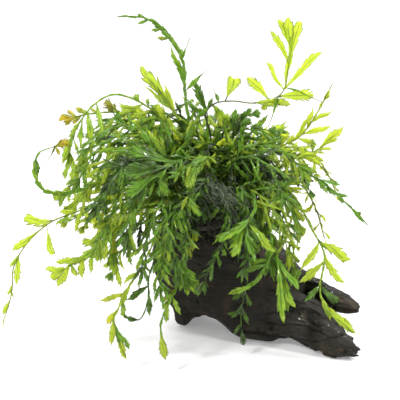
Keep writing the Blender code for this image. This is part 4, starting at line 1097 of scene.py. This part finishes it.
CUT_BACK = 0.8                           # a leaflet past the plant's outline is shortened by this at a time
SEEN_WIDER = 1.22                        # a leaflet that is given is wider than it shows, since it is turned
SEEN_BEND, SEEN_STEP = 0.08, 0.75
DEEPEST = 0.4                            # how far it leads to the back or front at most for its length
FIRST_SEED, FEWEST_RINGS = 1000, 24
INTO_END = 0.25                          # the share of the end leaflet that the stalk stops short of its tip
CLOSER = 0.80                            # leaflets stand closer than on the frond's solid
BARE_FOOT, BARE_FOOT_SEEN = 0.55, 0.75   # how much of the bare part stays bare


def dress(skin, stem, draw, leaf, pitch, tone, kind, wing, first, until, rows=14):
    """The stalk, its wings and the leaflets between two shares of its length. leaf is a leaflet's size."""
    lines, ways, sides, ups = stem
    last = len(lines) - 1
    length = np.linalg.norm(np.diff(lines, axis=0), axis=1).sum()
    share = np.linspace(0, 1, last + 1)
    radii = (STALK_W + (STALK_TIP_W - STALK_W) * share) / 2
    marks = np.zeros((last + 1, 5))
    marks[:, 0] = share * length
    marks[:, 1] = 0.5
    marks[:, 2] = tone
    marks[:, 4] = np.clip(STALK_DARK - LESS_DARK * share, 0, 1)
    skin.tube(lines - ups * radii[:, None], sides, ups, radii, marks, STALK_SIDES)
    if wing:
        leafy = share > first
        t = (share[leafy] - first) / (1 - first)
        taper = np.clip(t * WING_FOOT[0], WING_FOOT[1], 1) * np.clip((1 - t) * WING_END[0], WING_END[1], 1)
        teeth = length * (1 - first) / WING_TOOTH
        edges = [wing * taper * (WING_NOTCH + WING_OUT * ((t * teeth + draw.random()) % 1.0))
                 for hand in range(2)]
        wing_marks = marks[leafy].copy()
        wing_marks[:, 4] = 0
        strip(skin, *(row[leafy] for row in stem), *edges, wing_marks, WING_SWEEP, WING_FOLD)
    count = max(4, round(2 * length * (until - first) / pitch))
    for k in range(count):
        at = (k + draw.uniform(*LEAFLET_SEAT)) / count
        i = round((first + (until - first) * at) * last)
        hand = 1 if k % 2 == 0 else -1
        swell = math.sin(math.pi * min(1.0, SWELL_FROM + at * SWELL_RISE * until))
        size = leaf[0] * (SHORTEST_LEAFLET + (1 - SHORTEST_LEAFLET) * swell) * draw.uniform(*LENGTHS)
        angle = math.radians(LEAFLET_ANGLE - LESS_AT_TIP * at + draw.uniform(*ANGLE_MORE))
        toward = (ways[i] * math.cos(angle) + sides[i] * (hand * math.sin(angle))
                  + ups[i] * draw.uniform(*LEAFLET_LIFT))
        toward[2] -= draw.uniform(*LEAFLET_DROOP)
        toward = unit(toward)
        while size > SMALLEST and not inside(lines[i] + toward * size):
            size *= CUT_BACK
        shade = tone * (PALER_AT_TIP[0] + PALER_AT_TIP[1] * at) + draw.gauss(*TONE_MORE)
        cut = kind if draw.random() < OWN_KIND else draw.choice((LANCE, TOOTHED, LOBED))
        bend = (ways[i] * BEND_ON + ups[i] * draw.uniform(*BEND_UP)
                + sides[i] * draw.uniform(-BEND_ASIDE, BEND_ASIDE)) * size
        leaflet(skin, lines[i], lines[i] + toward * size, bend, ups[i], leaf[1] * draw.uniform(*WIDTHS), cut,
                draw, shade, rows=rows)


def end_leaflets(skin, stem, draw, leaf, tone):
    """The three leaflets at a frond's end."""
    lines, ways, sides, ups = (row[-1] for row in stem)
    for hand, reach, angle in END_THREE:
        toward = (ways * math.cos(angle) + sides * (hand * math.sin(angle))) * leaf[0] * reach * END_SIZE
        while np.linalg.norm(toward) > SMALLEST and not inside(lines + toward):
            toward = toward * CUT_BACK
        leaflet(skin, lines, lines + toward, ways * END_BEND, ups, leaf[1] * END_SIZE, SESSILE, draw, tone,
                rows=END_ROWS, fork=False)


def show(skin, stem, draw, leaves, tone):
    """The leaflets that are given by where they show in the photograph."""
    lines, ways, _, ups = stem
    shown, scale = in_photo(lines)
    for one in (Seen(*row) for row in leaves):
        i = int(np.argmin(((shown - (one.foot_x, one.foot_y)) ** 2).sum(axis=1)))
        flat = (RIGHT * (one.tip_x - shown[i][0]) + UPWARD * (shown[i][1] - one.tip_y)) * scale[i]
        reach = np.linalg.norm(flat)
        slope = -(flat @ ups[i]) / (AWAY @ ups[i] - 1e-6)
        toward = flat + AWAY * np.clip(slope, -DEEPEST * reach, DEEPEST * reach)
        bow = np.cross(AWAY, flat / reach) * one.bow * scale[i]
        leaflet(skin, lines[i], lines[i] + toward, ways[i] * reach * SEEN_BEND + bow, ups[i],
                one.width * SEEN_WIDER * scale[i], one.kind, draw, tone + one.tone, one.gold,
                max(FINE_ROWS, int(reach / SEEN_STEP)), fork=one.kind is LOBED)


leaf_green = new_material("fern_leaf", fern_leaf)
for order, blade in enumerate(laid_blades()):
    grown, draw = blade.grown, random.Random(FIRST_SEED + order)
    skin = Skin()
    name = grown.name.replace("frond_", "")
    rings = max(FEWEST_RINGS, int(blade.length / ROUTE_STEP))
    end = 1 - INTO_END * (1 - blade.last)
    laid = [blade.stand(k / rings * end) for k in range(rings + 1)]
    stem = [np.array([tuple(f[k]) for f in laid]) for k in range(4)]
    first = grown.bare * (BARE_FOOT if grown.inner == 1.0 else BARE_FOOT_SEEN)
    dress(skin, stem, draw, grown.leaflet, grown.pitch * CLOSER, grown.tone, grown.kind, grown.wing, first,
          blade.last * grown.inner)
    if name in SEEN:
        show(skin, stem, draw, SEEN[name], grown.tone)
    else:
        end_leaflets(skin, stem, draw, grown.leaflet, grown.tone + 0.05)
    skin.piece("leaf_" + name, leaf_green, grown.name)


# The hanging fronds
# Shorter fronds that arch out between the long ones and hang over each other, so that the plant is one
# dense mass. They grow from the same rhizomes, and those of one side are joined in one piece.
Bough = namedtuple("Bough", "row share tone leaf route seen", defaults=((),))
SMALL, LONG, BROAD = (13.0, 3.2), (20.0, 4.0), (22.0, 6.6)
# Each one's row, its place along the rhizome, its tone with painted shade and light, its leaflets, the places
# that it passes, which are pixels of the photograph and how far behind the plant's middle they lie, and
# leaflets that stand out
MASSES = {
    "left": (
        ("middle", 0.30, 0.60, LONG, ((150, 126, 5), (128, 116, 0), (108, 122, -5), (94, 138, -8),
         (84, 160, -8))),
        ("front", 0.22, 0.45, LONG, ((155, 140, -15), (130, 134, -25), (108, 141, -30), (92, 158, -32),
         (80, 178, -32))),
        ("front", 0.18, 0.70, LONG, ((158, 150, -25), (134, 147, -35), (112, 156, -40), (98, 172, -42),
         (86, 190, -42))),
        ("front", 0.15, 0.30, BROAD, ((165, 158, -35), (145, 156, -45), (126, 166, -50), (112, 182, -52),
         (100, 202, -52))),
        ("middle", 0.15, 0.68, LONG, ((150, 165, 0), (125, 166, -10), (104, 176, -15), (88, 190, -18),
         (76, 204, -18))),
        ("front", 0.30, 0.30, BROAD, ((168, 172, -40), (152, 178, -52), (140, 192, -56), (132, 212, -56),
         (128, 232, -54))),
        ("front", 0.12, 0.60, LONG, ((160, 180, -30), (138, 188, -45), (120, 205, -50), (106, 224, -50),
         (98, 240, -50))),
        ("front", 0.35, 0.30, LONG, ((170, 192, -45), (158, 208, -56), (150, 228, -58), (144, 250, -56),
         (142, 266, -54))),
        ("front", 0.40, 0.50, LONG, ((172, 198, -40), (166, 220, -55), (162, 244, -58), (158, 268, -56),
         (160, 285, -54))),
        ("back", 0.15, 0.74, LONG, ((145, 148, 20), (120, 144, 20), (98, 152, 18), (80, 168, 15),
         (70, 186, 15))),
        ("back", 0.10, 0.74, LONG, ((150, 172, 15), (126, 178, 10), (106, 192, 5), (92, 210, 5),
         (84, 226, 5))),
        ("middle", 0.08, 0.60, LONG, ((155, 192, -10), (134, 204, -20), (116, 222, -25), (102, 244, -28))),
        ("front", 0.08, 0.55, LONG, ((160, 202, -25), (144, 218, -38), (130, 238, -42), (118, 258, -42),
         (112, 272, -42))),
        ("front", 0.20, 0.40, SMALL, ((142, 130, -30), (120, 126, -38), (102, 134, -42), (88, 148, -44))),
        ("middle", 0.20, 0.30, BROAD, ((166, 148, -20), (148, 148, -30), (134, 158, -36), (122, 172, -38))),
        ("middle", 0.10, 0.70, LONG, ((140, 183, 5), (118, 187, 0), (100, 198, -4), (84, 212, -6),
         (68, 222, -6))),
        ("front", 0.25, 0.50, LONG, ((160, 165, -30), (140, 172, -44), (124, 188, -50), (114, 206, -52),
         (108, 226, -52))),
    ),
    "right": (
        ("front", 0.62, 0.55, LONG, ((240, 150, -10), (262, 145, -15), (284, 152, -20), (298, 166, -22))),
        ("front", 0.78, 0.66, LONG, ((255, 180, -16), (274, 187, -22), (290, 204, -24), (300, 226, -24))),
        ("front", 0.72, 0.70, LONG, ((250, 190, -20), (268, 203, -26), (280, 226, -28), (288, 250, -26))),
        ("front", 0.66, 0.40, BROAD, ((245, 195, -18), (258, 212, -24), (266, 234, -26), (270, 256, -26))),
        ("back", 0.72, 0.95, LONG, ((250, 150, 20), (275, 146, 20), (298, 156, 18), (314, 174, 15))),
        ("middle", 0.85, 0.85, LONG, ((260, 185, 10), (282, 194, 5), (294, 208, 0), (300, 228, -2))),
        ("front", 0.85, 0.60, LONG, ((270, 195, -18), (285, 218, -22), (292, 242, -24), (296, 268, -24))),
        ("middle", 0.60, 0.35, LONG, ((235, 160, -20), (255, 158, -32), (272, 170, -38), (282, 192, -40))),
    ),
    "middle": (
        ("middle", 0.45, 0.34, LONG, ((205, 150, 5), (195, 130, 0), (180, 116, -5), (165, 114, -8))),
        ("back", 0.50, 0.45, LONG, ((215, 150, 10), (222, 128, 8), (236, 116, 5), (252, 114, 2))),
        ("front", 0.38, 0.32, LONG, ((180, 193, -40), (174, 212, -54), (172, 235, -57), (174, 258, -56))),
        ("middle", 0.55, 0.35, LONG, ((225, 150, -5), (235, 135, -10), (250, 128, -14), (268, 130, -16))),
        ("middle", 0.35, 0.30, LONG, ((185, 150, -5), (172, 140, -12), (156, 140, -18), (140, 150, -22))),
        ("front", 0.40, 0.35, SMALL, ((196, 158, -30), (180, 160, -42), (165, 170, -52), (150, 186, -58),
         (140, 200, -60)),
         ((176, 163, 128, 150, 15, FEATHERY, 0, -0.05), (170, 167, 125, 174, 14, FEATHERY, 0, -0.1),
          (162, 172, 127, 196, 14, FEATHERY, 0, 0.0), (158, 176, 168, 196, 9, TOOTHED, 0, 0.15))),
        ("front", 0.52, 0.55, SMALL, ((208, 158, -30), (202, 160, -44), (194, 164, -52), (180, 172, -56)),
         ((196, 162, 188, 188, 11, TOOTHED, 0, 0.05), (203, 160, 196, 178, 6, LANCE))),
        ("front", 0.58, 0.20, SMALL, ((208, 180, -42), (196, 190, -52), (184, 200, -56), (176, 215, -58)),
         ((190, 196, 200, 216, 9, LOBED, 0, 0.3), (182, 202, 181, 218, 8, LOBED, 0, 0.3),
          (200, 186, 190, 206, 6, LANCE, 0, 0.1))),
        ("front", 0.75, 0.20, SMALL, ((240, 186, -30), (246, 198, -34), (248, 212, -36))),
        ("front", 0.66, 0.20, SMALL, ((228, 205, -28), (230, 222, -34), (222, 244, -38), (212, 264, -40),
         (204, 282, -42))),
        ("front", 0.72, 0.28, SMALL, ((238, 206, -26), (246, 224, -30), (248, 246, -33), (244, 268, -34))),
        ("front", 0.30, 0.26, SMALL, ((182, 200, -46), (186, 222, -54), (186, 246, -54), (180, 272, -52))),
        ("front", 0.34, 0.35, SMALL, ((178, 196, -46), (174, 220, -54), (166, 246, -54), (162, 270, -52))),
    ),
}
BOUGH_PITCH, BOUGH_FIRST, BOUGH_LAST = 7.6, 0.28, 0.98
SMALL_CLOSER = 0.72
BOUGH_WING = (0.8, 1.8)
BOUGH_STEP, BOUGH_ROOT = 1.6, 0.8
OVER_ROOT, OVER_RISE, OVER_LEAD = 14.0, 0.7, 0.6
FACE_OUT, FACE_VIEWER, FACE_UP = 0.35, 0.75, 0.35
NEAREST_FRONT = -55.0                    # no bough comes nearer to the viewer than this


def from_photo(x, y, behind):
    """The place that shows at this pixel of the photograph, so far behind the plant's middle."""
    depth = CAMERA_DISTANCE / MM
    eye = LOOK_AT / MM + MIDDLE - Vector(AWAY) * depth
    sight = Vector(RIGHT * (x - MIDDLE_PIXEL) * PIXEL + UPWARD * (MIDDLE_PIXEL - y) * PIXEL + AWAY * depth)
    return eye + sight * max(1 + behind / depth, (NEAREST_FRONT - eye.y) / sight.y)


def stem_along(route, facing, step=BOUGH_STEP):
    """A route's line with the way, the left and the top of the blade at each point."""
    lines = np.array([tuple(p) for p in smooth_route(route, step)])
    ways = unit(np.gradient(lines, axis=0))
    sides = unit(np.cross(np.array(facing), ways) + 1e-6)
    return [lines, ways, sides, np.cross(ways, sides)]


def on_rhizome(line, share, rise=BOUGH_ROOT):
    """The place of a root at this share of a rhizome's line."""
    return line[int(share * (len(line) - 1))] + Vector((0, 0, RHIZOME_R * rise))


rhizome_lines = {row: smooth_route(places, 0.5) for row, places in rhizome_middles.items()}
for mass, boughs in MASSES.items():
    draw = random.Random(len(boughs) * 31)
    skin = Skin()
    for bough in (Bough(*row) for row in boughs):
        root = on_rhizome(rhizome_lines[bough.row], bough.share)
        places = [from_photo(*at) for at in bough.route]
        lead = (places[0] - root).normalized()
        over = root + Vector((0, 0, OVER_ROOT * OVER_RISE)) + lead * OVER_ROOT * OVER_LEAD
        out = (places[-1] - root) * Vector((1, 1, 0))
        stem = stem_along([root, over] + places,
                          out.normalized() * FACE_OUT + VIEWER * FACE_VIEWER + Vector((0, 0, FACE_UP)))
        kind = draw.choice((LANCE, LANCE, TOOTHED))
        pitch = BOUGH_PITCH * (SMALL_CLOSER if bough.leaf is SMALL else 1)
        dress(skin, stem, draw, bough.leaf, pitch, bough.tone, kind, draw.uniform(*BOUGH_WING), BOUGH_FIRST,
              BOUGH_LAST)
        end_leaflets(skin, stem, draw, bough.leaf, bough.tone)
        show(skin, stem, draw, bough.seen, bough.tone)
    skin.piece("hanging_fronds_" + mass, leaf_green)


# The young fronds inside the crown
# Short fronds that fill the crown between the long ones, so that it looks dense and dark; their low tones
# paint shade into their green. They grow from the same rhizomes, and each row's young fronds are joined in
# one piece.
SPROUT_ROOTS, SPROUT_RISE, SPROUT_FALL, LEAST_REACH = (0.05, 0.95), (14, 62), (0.1, 0.6), 14
SPROUT_LEAF, SPROUT_PITCH, SPROUT_TONES_AND_SHADE = (13.0, 3.4), 6.6, (0.0, 0.34)
SPROUT_WING, SPROUT_FIRST, SPROUT_ROWS, DRAWN_IN = 0.6, 0.22, 10, 0.85
# Each row's count, the angles in degrees between which they lead away, and how far they reach at most
SPROUTS = {"front": (22, 196, 344, 46), "middle": (18, 0, 360, 46), "back": (22, 15, 165, 72)}
for row, (count, from_angle, to_angle, farthest) in SPROUTS.items():
    draw = random.Random(len(row) * 77 + count)
    skin = Skin()
    for sprout in range(count):
        root = on_rhizome(rhizome_lines[row], draw.uniform(*SPROUT_ROOTS))
        away = away_at(from_angle + (to_angle - from_angle) * (sprout + draw.random()) / count)
        reach, rise = draw.uniform(LEAST_REACH, farthest), draw.uniform(*SPROUT_RISE)
        fall = draw.uniform(*SPROUT_FALL) * rise
        while not inside(np.array(arch(root, away, reach, rise, fall)[-1])) and reach > LEAST_REACH:
            reach *= DRAWN_IN
        stem = stem_along([root] + arch(root, away, reach, rise, fall), away * 0.5 + Vector((0, 0, 1)))
        dress(skin, stem, draw, SPROUT_LEAF, SPROUT_PITCH, draw.uniform(*SPROUT_TONES_AND_SHADE),
              draw.choice((LANCE, TOOTHED, LOBED)), SPROUT_WING, SPROUT_FIRST, 1.0, SPROUT_ROWS)
    skin.piece("young_fronds_" + row, leaf_green)


# The root hair
# Fine grey-brown hair and wiry roots that a fern like this pushes out of its rhizomes. It hangs round
# the foot of the stalks and down the front of the log, with a pale green tuft at the crown's middle.
HAIRS = {"front": 420, "middle": 200, "back": 160}
HAIR_R, HAIR_SIDES, HAIR_LINKS, HAIR_LINK = 0.13, 3, 11, (1.2, 2.4)
HAIR_ROOT, HAIR_ROOTS, FRONT_ROOTS, LAST_HAIR = 0.6, (0.03, 0.97), (0.66, 0.22), 0.98
HAIR_ASIDE, HAIR_OUT, HAIR_UP = (-0.8, 0.8), (0.0, 0.9), (0.5, 1.4)
HAIR_CURL, HAIR_FALL = 0.38, 0.16
HAIR_SIDEWAYS = (0.31, 0.2, 0.93)        # a way that no hair takes all along
TUFT_FROM, TUFT_TO = (205.0, 183.0, -42.0), (232.0, 199.0, -42.0)  # pixels, and mm behind the plant's middle
TUFT_SPREAD, TUFT_ROOTS = (4.0, 6.5, 3.0), (0.45, 0.85)
TUFT_LEAN, TUFT_LEANS, TUFT_LENGTH, TUFT_ARCH = Vector((0.6, -0.2, -0.7)), 0.25, (4, 9), 5
TUFT_STRANDS, TUFT_R, TUFT_STEP, TUFT_CURL = 85, 0.15, 1.8, 0.7
HAIR_DARK, HAIR_PALE = (0.028, 0.024, 0.016), (0.080, 0.076, 0.052)
TUFT_DARK, TUFT_PALE = (0.018, 0.026, 0.012), (0.125, 0.158, 0.090)
HAIR_SHADES = 2.5 * MM


def root_hair_finish(start):
    shade = start.here().speckle(HAIR_SHADES, 2.0)
    brown = shade.clear_step(0.35, 0.65).mix(HAIR_DARK, HAIR_PALE)
    green = shade.clear_step(0.3, 0.7).mix(TUFT_DARK, TUFT_PALE)
    return start.gloss({"Base Color": start.mark("leaf_stem").mix(brown, green),
                        "Roughness": 0.65 + 0.2 * shade})


def random_walk(draw, root, way):
    """A hair's points from its root: it curls as it grows and bends down."""
    points = [root]
    for _ in range(HAIR_LINKS):
        way = way + np.array([draw.gauss(0, HAIR_CURL) for _ in range(3)]) - np.array((0, 0, HAIR_FALL))
        points.append(points[-1] + unit(way) * draw.uniform(*HAIR_LINK))
    return np.array(points)


hair_brown = new_material("root_hair_finish", root_hair_finish)
for row, strands in HAIRS.items():
    draw = random.Random(strands)
    skin = Skin()
    line = rhizome_lines[row]
    for strand in range(strands):
        share = draw.gauss(*FRONT_ROOTS) if row == "front" else draw.uniform(*HAIR_ROOTS)
        outward = -1 if row == "front" else draw.choice((-1, 1))
        way = np.array((draw.uniform(*HAIR_ASIDE), outward * draw.uniform(*HAIR_OUT), draw.uniform(*HAIR_UP)))
        root = on_rhizome(line, min(LAST_HAIR, max(1 - LAST_HAIR, share)), HAIR_ROOT)
        fine = random_walk(draw, np.array(root), way)
        ways = unit(np.gradient(fine, axis=0))
        sides = unit(np.cross(ways, HAIR_SIDEWAYS) + 1e-6)
        skin.tube(fine, sides, np.cross(sides, ways), np.full(len(fine), HAIR_R), np.zeros((len(fine), 5)),
                  HAIR_SIDES)
    for strand in range(TUFT_STRANDS if row == "front" else 0):
        root = on_rhizome(line, draw.uniform(*TUFT_ROOTS), HAIR_ROOT)
        at = draw.random()
        place = from_photo(*(draw.gauss(a + (b - a) * at, spread)
                             for a, b, spread in zip(TUFT_FROM, TUFT_TO, TUFT_SPREAD)))
        lean = TUFT_LEAN.normalized() + Vector([draw.gauss(0, TUFT_LEANS) for _ in range(3)])
        over = root.lerp(place, 0.5) + Vector((0, 0, TUFT_ARCH))
        route = [root, over, place, place + lean * draw.uniform(*TUFT_LENGTH)]
        fine, ways, sides, ups = stem_along(route, VIEWER, TUFT_STEP)
        fine = fine + np.array([[draw.gauss(0, TUFT_CURL) for _ in range(3)] for _ in fine])
        skin.tube(fine, sides, ups, np.full(len(fine), TUFT_R), np.ones((len(fine), 5)), HAIR_SIDES)
    skin.piece("root_hair_" + row, hair_brown)
